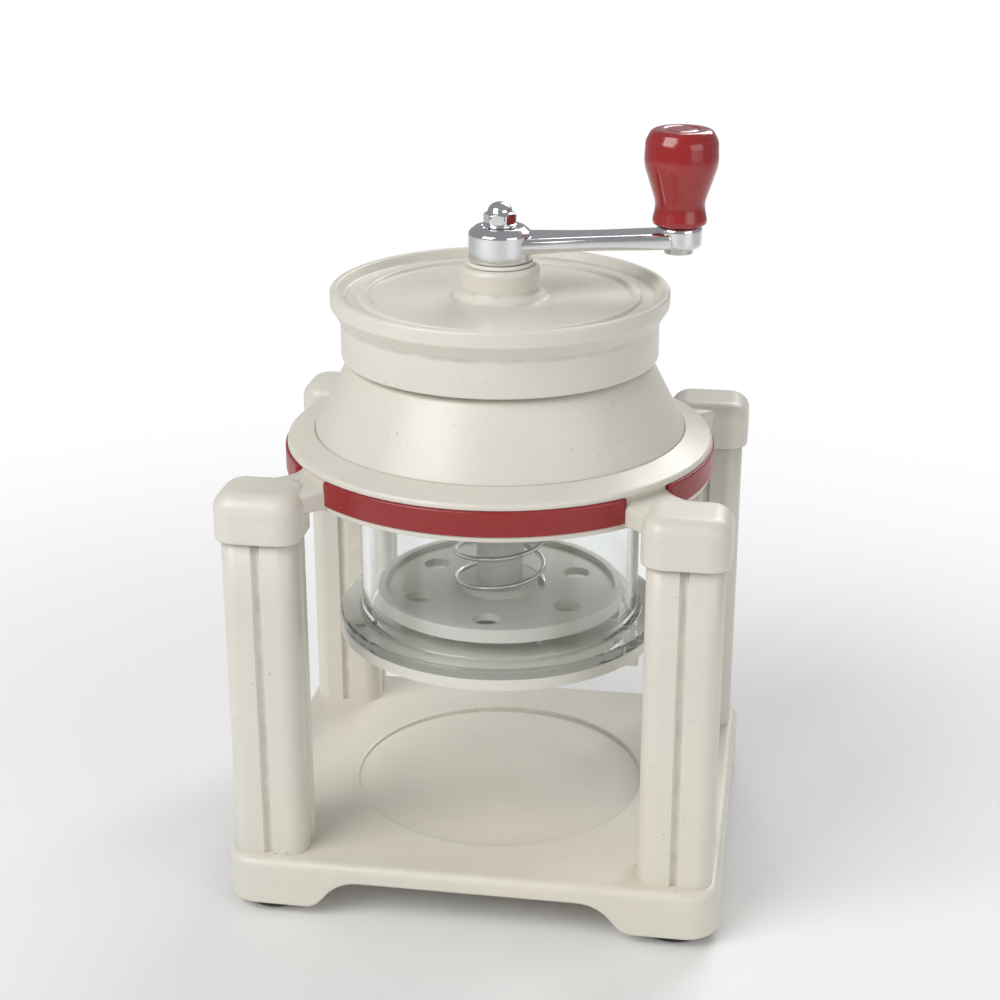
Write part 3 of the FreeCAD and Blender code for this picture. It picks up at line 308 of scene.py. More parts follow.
def lathe(name, corners, closed=True, centre=(0.0, 0.0), steps=None):
    """Surface of revolution: x = r cos u, y = r sin u, z = z, for a rounded profile (r, z).

    An open profile runs from the axis to the axis and its ends become poles.
    """
    profile, worn = rounded_path(corners, closed)
    steps = steps or details().turn_steps
    angles = np.linspace(0.0, 2 * np.pi, steps, endpoint=False)
    if not closed:
        poles = profile[[0, -1]]
        profile = profile[1:-1]
        worn = worn[1:-1]
    radius = profile[None, :, 0]
    grid = np.stack([centre[0] + radius * np.cos(angles)[:, None],
                     centre[1] + radius * np.sin(angles)[:, None],
                     np.broadcast_to(profile[None, :, 1], (steps, len(profile)))], axis=2)
    wear = np.broadcast_to(worn, (steps, len(worn)))
    if closed:
        return sheet_mesh(name, grid, True, True, wear=wear)
    piece = sheet_mesh(name, grid, True, False, caps=True, wear=wear)
    ends = piece.data.vertices
    ends[len(ends) - 2].co.z = poles[0, 1] * MM
    ends[len(ends) - 1].co.z = poles[1, 1] * MM
    return piece


def swept(name, frames, section, sizes, wear=None):
    """Closed section carried along a path and capped at both ends.

    Point = origin + size_a * a * side + size_b * b * up, for section points (a, b).
    """
    origins, sides, ups = frames
    a = section[:, 0][:, None] * sizes[0][None, :]
    b = section[:, 1][:, None] * sizes[1][None, :]
    grid = origins[None] + a[..., None] * sides[None] + b[..., None] * ups[None]
    return sheet_mesh(name, grid, True, False, caps=True, wear=wear)


def helix(radius, start_angle, turn, foot, rise, steps):
    """Path (radius cos t, radius sin t, foot + rise * share) with its outward direction."""
    share = np.linspace(0.0, 1.0, steps)
    angle = start_angle + turn * share
    outward = np.stack([np.cos(angle), np.sin(angle), np.zeros(steps)], axis=1)
    origins = outward * radius
    origins[:, 2] = foot + rise * share
    upward = np.tile([0.0, 0.0, 1.0], (steps, 1))
    return origins, outward, upward


def dress(piece, body, material, nodes=()):
    """Give a new piece its finish, the body it rides on and the nodes it stands for."""
    piece.data.materials.clear()
    piece.data.materials.append(material)
    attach(piece, body)
    if nodes:
        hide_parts(*nodes)
    return piece


def refinish(node, material):
    """Put a finish in the slots of a carried-over node, whose mesh stays as it is."""
    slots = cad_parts[node].material_slots
    if not slots:
        raise RuntimeError(node + " has no material slot")
    for item in slots:
        item.material = material


# Finishes ---------------------------------------------------------------------------

FINISH_MARK = "_finish"


class Finish:
    """A Principled material with its helpers for noise, ramps, wear and bump."""

    def __init__(self, name, base, roughness, metallic=0.0, **sockets):
        self.material = bpy.data.materials.new(name + FINISH_MARK)
        self.material.use_nodes = True
        self.tree = self.material.node_tree
        self.shader = self.tree.nodes["Principled BSDF"]
        self.base = tuple(base) + (1.0,)
        self.set("Base Color", self.base)
        self.set("Roughness", roughness)
        self.set("Metallic", metallic)
        for socket, level in sockets.items():
            self.set(socket.replace("_", " "), level)
        self.place = self.node("ShaderNodeTexCoord").outputs["Object"]
        self.normal = None

    def set(self, socket, level):
        self.shader.inputs[socket].default_value = level

    def node(self, kind, **settings):
        item = self.tree.nodes.new(kind)
        for name, setting in settings.items():
            setattr(item, name, setting)
        return item

    def link(self, output, target):
        self.tree.links.new(output, target)

    def stretched(self, x, y, z):
        mapping = self.node("ShaderNodeMapping")
        mapping.inputs["Scale"].default_value = (x, y, z)
        self.link(self.place, mapping.inputs["Vector"])
        return mapping.outputs["Vector"]

    def noise(self, scale, detail=3.0, rough=0.55, vector=None):
        item = self.node("ShaderNodeTexNoise")
        item.inputs["Scale"].default_value = scale
        item.inputs["Detail"].default_value = detail
        item.inputs["Roughness"].default_value = rough
        self.link(vector or self.place, item.inputs["Vector"])
        return item.outputs["Fac"]

    def remap(self, source, low, high, out_low, out_high):
        item = self.node("ShaderNodeMapRange")
        for socket, level in (("From Min", low), ("From Max", high), ("To Min", out_low),
                              ("To Max", out_high)):
            item.inputs[socket].default_value = level
        self.link(source, item.inputs["Value"])
        return item.outputs["Result"]

    def math(self, operation, first, second):
        item = self.node("ShaderNodeMath", operation=operation)
        for socket, entry in zip(item.inputs, (first, second)):
            if isinstance(entry, (int, float)):
                socket.default_value = entry
            else:
                self.link(entry, socket)
        return item.outputs["Value"]

    def blend_colour(self, share, first, second):
        item = self.node("ShaderNodeMix", data_type="RGBA")
        self.link(share, item.inputs[0])
        for socket, entry in ((item.inputs[6], first), (item.inputs[7], second)):
            if isinstance(entry, tuple):
                socket.default_value = entry
            else:
                self.link(entry, socket)
        return item.outputs[2]

    def bump(self, height, strength, distance):
        item = self.node("ShaderNodeBump")
        item.inputs["Strength"].default_value = strength
        item.inputs["Distance"].default_value = distance
        self.link(height, item.inputs["Height"])
        if self.normal:
            self.link(self.normal, item.inputs["Normal"])
        self.normal = item.outputs["Normal"]
        self.link(self.normal, self.shader.inputs["Normal"])

    def hairlines(self, scale, direction, width=0.006):
        """Thin broken lines where a stretched noise crosses its middle value."""
        field = self.noise(scale, 1.0, 0.5, self.stretched(*direction))
        distance = self.math("ABSOLUTE", self.math("SUBTRACT", field, 0.5), 0.0)
        lines = self.remap(distance, 0.0, width, 1.0, 0.0)
        patches = self.remap(self.noise(scale * 2.3, 2.0), 0.52, 0.66, 0.0, 1.0)
        return self.math("MULTIPLY", lines, patches)

    def wear(self):
        """Attribute of the new pieces: above 0 on their edges, below 0 in their hollows, where
        moulded plastic gets dust and painted shade.
        """
        return self.node("ShaderNodeAttribute", attribute_name="wear").outputs["Fac"]

    def paint(self, output):
        self.link(output, self.shader.inputs["Base Color"])

    def polish(self, output):
        self.link(output, self.shader.inputs["Roughness"])


def shade(base, factor, lift=0.0):
    return tuple(min(1.0, channel * factor + lift) for channel in base[:3]) + (1.0,)


def warmer(base):
    """The colour an old moulding turns to: a little darker and yellower."""
    return (base[0] * 0.97, base[1] * 0.93, base[2] * 0.82, 1.0)


def moulded(name, base, roughness, grain=1.0, tint=1.0, **sockets):
    """Moulded plastic, long in use: blotches, specks, hairline scratches and eroded grain.

    Edges are rubbed pale, and hollows are darkened with dust and painted shade, by the wear
    attribute.
    """
    finish = Finish(name, base, roughness, **sockets)
    blotch = finish.remap(finish.noise(9.0, 4.0), 0.3, 0.7, 0.0, 1.0)
    mixed = finish.blend_colour(blotch, shade(base, 1.0 - 0.065 * tint),
                                shade(base, 1.0 + 0.035 * tint))
    aged = finish.remap(finish.noise(5.0, 3.0), 0.5, 0.75, 0.0, 0.55)
    mixed = finish.blend_colour(aged, mixed, warmer(base))
    scratches = finish.math("MAXIMUM", finish.hairlines(16.0, (1.0, 5.0, 2.0)),
                            finish.hairlines(21.0, (4.0, 1.0, 1.5)))
    mixed = finish.blend_colour(finish.math("MULTIPLY", scratches, 0.30), mixed,
                                shade(base, 1.10, 0.04))
    specks = finish.remap(finish.noise(620.0, 1.0), 0.74, 0.78, 0.0, 0.45)
    mixed = finish.blend_colour(specks, mixed, shade(base, 0.45))
    wear = finish.wear()
    scuffs = finish.remap(finish.noise(160.0, 3.0), 0.35, 0.75, 0.0, 1.0)
    rubbed = finish.math("MULTIPLY", finish.remap(wear, 0.1, 1.0, 0.0, 1.0), scuffs)
    rubbed = finish.math("MULTIPLY", rubbed, details().edge_wear)
    mixed = finish.blend_colour(rubbed, mixed, shade(base, 1.12, 0.05))
    # Dust and painted shade: hollows turn towards 58% of the base colour, in scuffed patches.
    hollow_dust_and_shade = finish.math("MULTIPLY", finish.remap(wear, 0.0, -1.0, 0.0, 0.55), scuffs)
    finish.paint(finish.blend_colour(hollow_dust_and_shade, mixed, shade(base, 0.58)))
    smears = finish.remap(finish.noise(38.0, 5.0, 0.6), 0.35, 0.7, roughness - 0.06,
                          roughness + 0.11)
    polish = finish.math("ADD", smears, finish.math("MULTIPLY", rubbed, -0.08))
    finish.polish(finish.math("ADD", polish, finish.math("MULTIPLY", scratches, 0.16)))
    pitch = 1.0 / details().grain_size
    finish.bump(finish.noise(pitch, 2.0, 0.5), 0.22 * grain, 0.00010)
    finish.bump(finish.noise(26.0, 2.0), 0.10, 0.0006)
    finish.bump(finish.math("SUBTRACT", 1.0, scratches), 0.14, 0.00010)
    return finish.material


def clear_moulding(name, base):
    """Clear plastic: faint flow lines, fine scratches and a light frost.

    Shadow rays and diffuse bounces pass straight through, tinted, so that what stands
    inside is lit as it would be behind a thin wall.
    """
    finish = Finish(name, base, 0.06, Transmission_Weight=1.0, IOR=1.49)
    frost = finish.noise(60.0, 4.0)
    scratches = finish.noise(55.0, 4.0, 0.7, finish.stretched(1.0, 1.0, 14.0))
    level = finish.remap(frost, 0.35, 0.75, 0.02, 0.07)
    finish.polish(finish.math("ADD", level, finish.remap(scratches, 0.62, 0.8, 0.0, 0.10)))
    clouds = finish.remap(finish.noise(14.0, 3.0), 0.3, 0.7, 0.0, 1.0)
    finish.paint(finish.blend_colour(clouds, shade(base, 0.97), shade(base, 1.03)))
    finish.bump(finish.noise(30.0, 2.0, 0.5, finish.stretched(1.0, 1.0, 0.25)), 0.12, 0.0006)
    passing = finish.node("ShaderNodeBsdfTransparent")
    passing.inputs["Color"].default_value = shade(base, 0.99)
    path = finish.node("ShaderNodeLightPath")
    share = finish.math("MAXIMUM", path.outputs["Is Shadow Ray"],
                        path.outputs["Is Diffuse Ray"])
    mix = finish.node("ShaderNodeMixShader")
    finish.link(share, mix.inputs[0])
    finish.link(finish.shader.outputs["BSDF"], mix.inputs[1])
    finish.link(passing.outputs["BSDF"], mix.inputs[2])
    output = finish.tree.nodes["Material Output"]
    finish.link(mix.outputs["Shader"], output.inputs["Surface"])
    return finish.material


def rubber(name, base):
    """Matt rubber: bloom in patches, fine pores and pale rubbed edges."""
    finish = Finish(name, base, 0.72, Specular_IOR_Level=0.35)
    bloom = finish.remap(finish.noise(70.0, 5.0), 0.4, 0.75, 0.0, 0.55)
    mixed = finish.blend_colour(bloom, shade(base, 0.85), shade(base, 1.3, 0.03))
    rubbed = finish.remap(finish.wear(), 0.2, 1.0, 0.0, 0.35)
    finish.paint(finish.blend_colour(rubbed, mixed, shade(base, 1.5, 0.06)))
    finish.polish(finish.remap(finish.noise(120.0), 0.3, 0.7, 0.62, 0.82))
    finish.bump(finish.noise(1800.0, 2.0), 0.35, 0.00012)
    return finish.material


def plated(name, base):
    """Chrome plate: near-mirror with faint orange peel, haze and fine wiping marks."""
    finish = Finish(name, base, 0.08, metallic=1.0)
    haze = finish.noise(45.0, 5.0)
    finish.polish(finish.remap(haze, 0.35, 0.75, 0.05, 0.17))
    finish.paint(finish.blend_colour(finish.remap(finish.noise(90.0, 4.0), 0.55, 0.8, 0.0, 0.6),
                                     tuple(base) + (1.0,), shade(base, 0.78)))
    finish.bump(finish.noise(420.0, 2.0), 0.05, 0.0003)
    finish.bump(finish.noise(900.0, 3.0, 0.6, finish.stretched(1.0, 0.08, 1.0)), 0.04, 0.0001)
    return finish.material


def turned_steel(name, base, roughness, direction=(0.05, 0.05, 1.0)):
    """Bright or ground steel: drawn lines along or round the piece, with dull spots."""
    finish = Finish(name, base, roughness, metallic=1.0)
    lines = finish.noise(1500.0, 3.0, 0.6, finish.stretched(*direction))
    finish.polish(finish.remap(lines, 0.3, 0.7, roughness - 0.07, roughness + 0.12))
    spots = finish.remap(finish.noise(130.0, 4.0), 0.55, 0.8, 0.0, 0.7)
    finish.paint(finish.blend_colour(spots, tuple(base) + (1.0,), shade(base, 0.72)))
    finish.bump(lines, 0.16, 0.00008)
    return finish.material


def finishes():
    """All finishes by name, made once."""
    if "shell_plastic" + FINISH_MARK not in bpy.data.materials:
        shades = colours()
        moulded("shell_plastic", shades.shell, 0.36, Coat_Weight=0.08, Coat_Roughness=0.25)
        moulded("inner_plastic", shades.inner, 0.42)
        moulded("trim_plastic", shades.trim, 0.30, grain=0.7, tint=1.6)
        moulded("knob_plastic", shades.knob, 0.20, grain=0.25, tint=1.8, Coat_Weight=0.5,
                Coat_Roughness=0.08)
        moulded("nylon", shades.nylon, 0.45, grain=0.6)
        clear_moulding("drum_plastic", shades.drum)
        rubber("foot_rubber", shades.rubber)
        rubber("seal_rubber", shades.seal)
        plated("chrome_plate", shades.chrome)
        turned_steel("drawn_steel", shades.steel, 0.26, (1.0, 1.0, 0.04))
        turned_steel("ground_steel", shades.steel, 0.30, (0.05, 1.0, 1.0))
        turned_steel("coil_steel", shade(shades.steel, 0.85)[:3], 0.30)
        turned_steel("zinc_plate", shades.zinc, 0.38)
    return {item.name.removesuffix(FINISH_MARK): item for item in bpy.data.materials
            if item.name.endswith(FINISH_MARK)}


# Sizes read from the frame, and the few that it can't give --------------------------

BASE_LOW, BASE_HIGH = cad("base_frame")
POST_LOW, POST_HIGH = cad("post_front_right")
RING_LOW, RING_HIGH = cad("deck_ring")
NECK_HIGH = cad("neck")[1]
BAND_LOW, BAND_HIGH = cad("collar_band")
DRUM_LOW, DRUM_HIGH = cad("ice_drum")
COVER_LOW, COVER_HIGH = cad("cover_ring")[0], cad("cover")[1]
SEAL_LOW, SEAL_HIGH = cad("cover_seal")
ARM_LOW, ARM_HIGH = cad("crank_arm")
KNOB_LOW, KNOB_HIGH = cad("crank_knob")
WASHER_LOW, WASHER_HIGH = cad("thrust_washer")
SPRING_LOW, SPRING_HIGH = cad("presser_spring")

POST_X, POST_Y = (POST_LOW[:2] + POST_HIGH[:2]) / 2
POST_WIDTH, POST_DEPTH = (POST_HIGH - POST_LOW)[:2]
DECK_FOOT = POST_HIGH[2]
CORNERS = {"front_left": (-1, -1), "front_right": (1, -1), "rear_right": (1, 1),
           "rear_left": (-1, 1)}
KNOB_CENTRE = (KNOB_LOW[:2] + KNOB_HIGH[:2]) / 2
CRANK_RADIUS = float(np.hypot(*KNOB_CENTRE))
CRANK_ANGLE = math.atan2(KNOB_CENTRE[1], KNOB_CENTRE[0])
THREAD_DEPTH = 1.6
THREAD_STARTS = 4
JOURNAL_RADIUS = 5.0
DRUM_INNER = 48.0
DRUM_OUTER = 51.0
NECK_RADIUS = 51.5
NECK_SEAM = RING_HIGH[2]
BAND_PROUD = 0.8
DECK_RADIUS = BAND_HIGH[0] - BAND_PROUD


def corner_centre(signs):
    """Middle of the post in the corner that the two signs name."""
    return np.array([signs[0] * POST_X, signs[1] * abs(POST_Y)])


def boxy_section(power, steps):
    """Superellipse (cos^p, sin^p) with its signs kept: a square with rounded sides."""
    angles = np.linspace(0.0, 2 * np.pi, steps, endpoint=False)
    return np.stack([np.sign(np.cos(angles)) * np.abs(np.cos(angles)) ** power,
                     np.sign(np.sin(angles)) * np.abs(np.sin(angles)) ** power], axis=1)


# Piece makers -----------------------------------------------------------------------

class PieceOperator:
    """Shared running of the piece operators: a maker that fails raises its own error."""

    bl_options = {"REGISTER"}

    def execute(self, context):
        self.make(finishes())
        return {"FINISHED"}


def arch_height(x, half_span, foot, rise=11.0, lean=9.0, crown=16.0, heel=7.0):
    """Height over the floor of an arch with leaning sides and a flat crown.

    The side runs straight from the foot to the crown over the given lean.  An arc of
    radius crown joins it to the top and an arc of radius heel to the foot.
    """
    slant = math.atan2(rise, lean)
    outline, _ = rounded_path([(-half_span, foot + rise, 0.0),
                               (half_span - lean, foot + rise, crown),
                               (half_span, foot, heel),
                               (half_span + 2 * heel * math.tan(slant / 2), foot, 0.0)],
                              False)
    return np.interp(np.abs(x), outline[:, 0], outline[:, 1])


class SHAVER_OT_base_tray(PieceOperator, bpy.types.Operator):
    """Make the footed tray with its arched aprons, bowl seat and hollow underside"""

    bl_idname = "shaver.base_tray"
    bl_label = "Base tray"

    corner = 12.0
    edge = 3.0
    foot_runs = (33.0, 31.0)
    seat_radius = 54.0
    seat_depth = 1.5
    hollow_radius = 56.0
    floor = 4.0
    rim_round = 1.2
    rim_land = 1.6
    apron_share = 3.0

    def make(self, materials):
        steps = details().outline_steps * 2
        half = BASE_HIGH[:2]
        foot, top = BASE_LOW[2], BASE_HIGH[2]
        spans = half - np.array(self.foot_runs)

        def under(rim, lift=0.0):
            return lift + np.maximum(arch_height(rim[:, 0], spans[0], foot),
                                     arch_height(rim[:, 1], spans[1], foot))

        outer = rounded_rectangle(half[0], half[1], self.corner, 8 * steps)
        outer = even_spacing(outer, steps, self.apron_share * under(outer))
        centres = np.sign(outer) * np.minimum(np.abs(outer), half - self.corner)
        outward = outer - centres
        outward /= np.hypot(*outward.T)[:, None]
        angles = np.arctan2(outer[:, 1], outer[:, 0])
        round_way = np.stack([np.cos(angles), np.sin(angles)], axis=1)

        def inset(distance):
            return outer - distance * outward

        rings = []
        worn = []

        def ring(rim, height, wear=0.0):
            rings.append(np.column_stack([rim, np.broadcast_to(height, steps)]))
            worn.append(np.full(steps, wear))

        seat = top - self.seat_depth
        for radius in (20.0, 45.0, self.seat_radius - 0.9):
            ring(round_way * radius, seat)
        # Negative wear marks the seat's inner corner as a hollow, darkened with dust and painted
        # shade.
        ring(round_way * (self.seat_radius - 0.25), seat + 0.15, -0.8)
        ring(round_way * self.seat_radius, seat + 0.5, -0.5)
        ring(round_way * self.seat_radius, top - 0.5, 0.5)
        ring(round_way * (self.seat_radius + 0.2), top - 0.12, 1.0)
        ring(round_way * (self.seat_radius + 0.6), top, 0.6)
        ring(round_way * (self.seat_radius + 1.2), top)
        ring(inset(self.edge + 0.5), top)
        for turn in np.linspace(0.0, np.pi / 2, 7):
            ring(inset(self.edge * (1 - math.sin(turn))), top - self.edge * (1 - math.cos(turn)),
                 math.sin(2 * turn))
        ring(outer, top - self.edge - 0.4)
        ring(outer, under(outer, self.rim_land))
        for turn in np.linspace(0.0, np.pi / 2, 5):
            rim = inset(self.rim_round * (1 - math.cos(turn)))
            ring(rim, under(rim, self.rim_round * (1 - math.sin(turn))),
                 0.9 * math.sin(2 * turn))
        hollow = round_way * self.hollow_radius
        for share in np.linspace(0.1, 1.0, 8):
            rim = inset(self.rim_land) * (1 - share) + hollow * share
            ring(rim, under(rim))
        roof = top - self.floor
        # Negative wear marks the underside's hollow, darkened with dust and painted shade.
        ring(hollow, roof - 1.0, -0.5)
        ring(hollow * 0.985, roof, -0.5)
        ring(hollow * 0.5, roof)
        grid = np.stack(rings, axis=1)
        piece = sheet_mesh("base_tray", grid, True, False, caps=True,
                           wear=np.stack(worn, axis=1))
        dress(piece, "main", materials["shell_plastic"], ["base_frame"])


class SHAVER_OT_foot_pads(PieceOperator, bpy.types.Operator):
    """Make the four rubber feet with a groove round each"""

    bl_idname = "shaver.foot_pads"
    bl_label = "Foot pads"

    plug_radius = 4.7
    cup_width = 4.5
    groove_depth = 0.5

    def make(self, materials):
        for name in CORNERS:
            node = "foot_pad_" + name
            low, high = cad(node)
            centre = (low[:2] + high[:2]) / 2
            radius = (high[0] - low[0]) / 2
            cup = radius - self.cup_width
            groove = radius - self.groove_depth
            piece = lathe("rubber_" + node, [
                (0.0, 0.25, 0.0), (cup, 0.25, 0.2), (cup + 0.5, 0.0, 0.2),
                (radius - 1.0, 0.0, 0.7), (radius, 1.0, 0.7), (radius, 2.1, 0.2),
                (groove, 2.4, 0.15), (groove, 2.8, 0.15), (radius, 3.1, 0.2),
                (radius, BASE_LOW[2], 0.1), (self.plug_radius, BASE_LOW[2], 0.1),
                (self.plug_radius, high[2], 0.3), (0.0, high[2], 0.0),
            ], closed=False, centre=centre, steps=64)
            dress(piece, "main", materials["foot_rubber"], [node])


class SHAVER_OT_posts(PieceOperator, bpy.types.Operator):
    """Make the four fluted posts"""

    bl_idname = "shaver.posts"
    bl_label = "Posts"

    corner = 6.0
    flute = 1.6

    def make(self, materials):
        steps = details().outline_steps
        half = np.array([POST_WIDTH, POST_DEPTH]) / 2
        rim = rounded_rectangle(half[0], half[1], self.corner, steps * 2)
        inward = np.zeros_like(rim)
        worn = np.zeros(len(rim))
        for axis in (0, 1):
            on_face = np.abs(np.abs(rim[:, axis]) - half[axis]) < 0.01
            aside = np.abs(rim[:, 1 - axis])
            depth = np.sqrt(np.clip(self.flute ** 2 - aside ** 2, 0.0, None))
            inward[:, axis] -= np.where(on_face, np.sign(rim[:, axis]) * depth, 0.0)
            worn = np.where(on_face & (np.abs(aside - self.flute) < 0.35), 1.0, worn)
            # A flute's middle counts as a hollow, so moulded plastic gets dust and painted shade
            # there.
            worn = np.where(on_face & (aside < 0.6 * self.flute), -0.8, worn)
        rim = rim + inward
        foot, top = POST_LOW[2], POST_HIGH[2]
        heights = np.array([foot, foot + 2.5, foot + 30.0, (foot + top) / 2, top - 30.0, top])
        for name, signs in CORNERS.items():
            centre = corner_centre(signs)
            grid = np.empty((len(rim), len(heights), 3))
            grid[:, :, :2] = (rim + centre)[:, None, :]
            grid[:, :, 2] = heights
            wear = np.broadcast_to(worn[:, None], grid.shape[:2])
            piece = sheet_mesh("fluted_post_" + name, grid, True, False, caps=True, wear=wear)
            dress(piece, "main", materials["shell_plastic"], ["post_" + name])


class SHAVER_OT_neck(PieceOperator, bpy.types.Operator):
    """Make the steep shoulder and the neck with its quick thread"""

    bl_idname = "shaver.neck"
    bl_label = "Neck"

    # Rises are heights over the deck's foot.
    neck_root_rise = 42.0
    shoulder_radius = 54.0
    shoulder_rise = 40.0
    shoulder_foot_inset = 1.2
    shoulder_foot_rise = 18.8
    tongue_rise = 10.1
    tongue_inner = 62.6
    socket_outer = 57.3
    socket_top_rise = 26.9
    socket_radius = 51.3
    drum_stop_rise = 28.0
    thread_rise = 46.5
    thread_turn = math.radians(72.0)
    thread_climb = 8.0

    def make(self, materials):
        shell = materials["shell_plastic"]
        rim = NECK_HIGH[2]
        foot = NECK_HIGH[0]
        tongue = DECK_FOOT + self.tongue_rise
        stop = DECK_FOOT + self.drum_stop_rise
        body = lathe("neck_shell", [
            (DRUM_INNER, rim, 1.0), (NECK_RADIUS, rim, 1.1),
            (NECK_RADIUS, DECK_FOOT + self.neck_root_rise, 2.0),
            (self.shoulder_radius, DECK_FOOT + self.shoulder_rise, 4.0),
            (foot - self.shoulder_foot_inset, DECK_FOOT + self.shoulder_foot_rise, 3.0),
            (foot, NECK_SEAM, 0.7), (foot, tongue, 0.3), (self.tongue_inner, tongue, 0.3),
            (self.tongue_inner, NECK_SEAM, 2.0),
            (self.socket_outer, DECK_FOOT + self.socket_top_rise, 1.0),
            (self.socket_outer, DECK_FOOT, 0.4), (self.socket_radius, DECK_FOOT, 0.3),
            (self.socket_radius, stop, 0.2), (DRUM_INNER, stop, 0.3),
        ])
        dress(body, "main", shell, ["neck"])
        make_thread("neck_thread_", NECK_RADIUS, self.thread_turn, DECK_FOOT + self.thread_rise,
                    self.thread_climb, 49, THREAD_DEPTH, shell, "main", "neck")


class SHAVER_OT_deck_ring(PieceOperator, bpy.types.Operator):
    """Make the deck's grooved ring with a flared bracket and a lug for each post"""

    bl_idname = "shaver.deck_ring"
    bl_label = "Deck ring"

    # Rises are heights over the deck's foot.
    ledge_edge_rise = 13.0
    ledge_under_rise = 10.0
    lip_foot_rise = 7.0
    lip_inner = 63.0
    lip_outer = 68.7
    wall = 3.4
    groove_gap = 0.05
    groove_depth = 1.4
    seam_gap = 0.1
    ledge_drop = 0.2
    lug_margin = 2.0
    lug_rise = 10.0
    lug_round = 6.0
    lug_corner = 8.0
    web_height = 8.0
    web_start = 73.3
    web_lift = 0.2

    def make(self, materials):
        shell = materials["shell_plastic"]
        groove_foot = BAND_LOW[2] - self.groove_gap
        groove_top = BAND_HIGH[2] + self.groove_gap
        seat = DECK_RADIUS - self.groove_depth
        seam = NECK_HIGH[0] + self.seam_gap
        inside = DECK_RADIUS - self.wall
        under = DECK_FOOT + self.ledge_under_rise
        lip = DECK_FOOT + self.lip_foot_rise
        ring = lathe("deck_ledge", [
            (seam, NECK_SEAM - self.ledge_drop, 0.5),
            (DECK_RADIUS, DECK_FOOT + self.ledge_edge_rise, 1.4),
            (DECK_RADIUS, groove_top, 0.4), (seat, groove_top, 0.2), (seat, groove_foot, 0.2),
            (DECK_RADIUS, groove_foot, 0.4), (DECK_RADIUS, DECK_FOOT, 0.7),
            (inside, DECK_FOOT, 0.6), (inside, under, 1.0), (self.lip_outer, under, 0.8),
            (self.lip_outer, lip, 0.8), (self.lip_inner, lip, 0.5), (self.lip_inner, under, 0.3),
            (seam, under, 0.3),
        ])
        dress(ring, "main", shell, ["deck_ring"])
        for name, signs in CORNERS.items():
            self.make_lug(name, signs, shell)
            self.make_web(name, signs, shell)

    def make_lug(self, name, signs, material):
        """Rounded cap over a post: outline rings that draw in along a quarter circle."""
        half = np.array([POST_WIDTH, POST_DEPTH]) / 2 + self.lug_margin
        steps = details().outline_steps
        foot = RING_LOW[2]
        top = DECK_FOOT + self.lug_rise
        centre = corner_centre(signs)
        # Each draw is a distance inward, a height and the wear there.
        draws = [(3.0, foot + 4.0, 0.0), (1.95, foot + 4.0, 0.0), (1.95, foot + 0.5, 0.0),
                 (1.5, foot, 0.7), (0.7, foot, 0.7), (0.15, foot + 0.2, 1.0),
                 (0.0, foot + 0.8, 0.4), (0.0, foot + 1.4, 0.0),
                 (0.0, top - self.lug_round - 0.5, 0.0)]
        for turn in np.linspace(0.0, np.pi / 2, 11):
            draws.append((self.lug_round * (1 - math.cos(turn)),
                          top - self.lug_round * (1 - math.sin(turn)),
                          0.35 * math.sin(2 * turn)))
        draws += [(self.lug_round + 0.6, top, 0.0), (self.lug_round + 3.0, top, 0.0)]
        rings = []
        for inward, height, wear in draws:
            rim = rounded_rectangle(half[0] - inward, half[1] - inward,
                                    max(self.lug_corner - inward, 1.0), steps)
            rings.append(np.column_stack([rim + centre, np.full(steps, height)]))
        grid = np.stack(rings, axis=1)
        worn = np.tile([draw[2] for draw in draws], (steps, 1))
        piece = sheet_mesh("lug_" + name, grid, True, False, caps=True, wear=worn)
        dress(piece, "main", material, ["deck_ring"])

    def make_web(self, name, signs, material):
        """Flared bracket: a squarish section along the line from the deck to a lug."""
        far = corner_centre(signs)
        along = far / np.hypot(*far)
        start = along * self.web_start
        end = far * 0.97
        steps = 33
        share = np.linspace(0.0, 1.0, steps)
        spots = start[None, :] * (1 - share)[:, None] + end[None, :] * share[:, None]
        length = np.hypot(*(end - start))
        near = np.exp(-share * length / 2.2)
        half_width = 10.0 + 2.2 * near + 1.5 * share
        half_height = self.web_height / 2 + 0.9 * near
        side = np.tile([-along[1], along[0], 0.0], (steps, 1))
        up = np.tile([0.0, 0.0, 1.0], (steps, 1))
        middle = DECK_FOOT + self.web_lift + self.web_height / 2
        origins = np.column_stack([spots, middle + (half_height - self.web_height / 2)])
        piece = swept("web_" + name, (origins, side, up), boxy_section(0.32, 64),
                      (half_width, half_height))
        dress(piece, "main", material, ["deck_ring"])


def make_thread(name, radius, turn, foot, climb, steps, depth, material, body, node):
    """Thread starts: rounded trapezoids along helices that fade out at both ends.

    A positive depth stands outward and a negative one inward.
    """
    bite, root, crest = 0.8, 1.3, 0.9
    section, _ = rounded_path([(-bite, -root, 0.1), (0.0, -root, 0.1),
                               (abs(depth), -crest, 0.4), (abs(depth), crest, 0.4),
                               (0.0, root, 0.1), (-bite, root, 0.1)], True)
    share = np.linspace(0.0, 1.0, steps)
    fade = np.clip(np.minimum(share, 1 - share) / 0.10, 0.12, 1.0) ** 0.5
    sizes = (math.copysign(1.0, depth) * fade, fade)
    for start in range(THREAD_STARTS):
        path = helix(radius, 2 * math.pi / THREAD_STARTS * start, turn, foot, climb, steps)
        rib = swept(f"{name}{start}", path, section, sizes)
        dress(rib, body, material, [node])


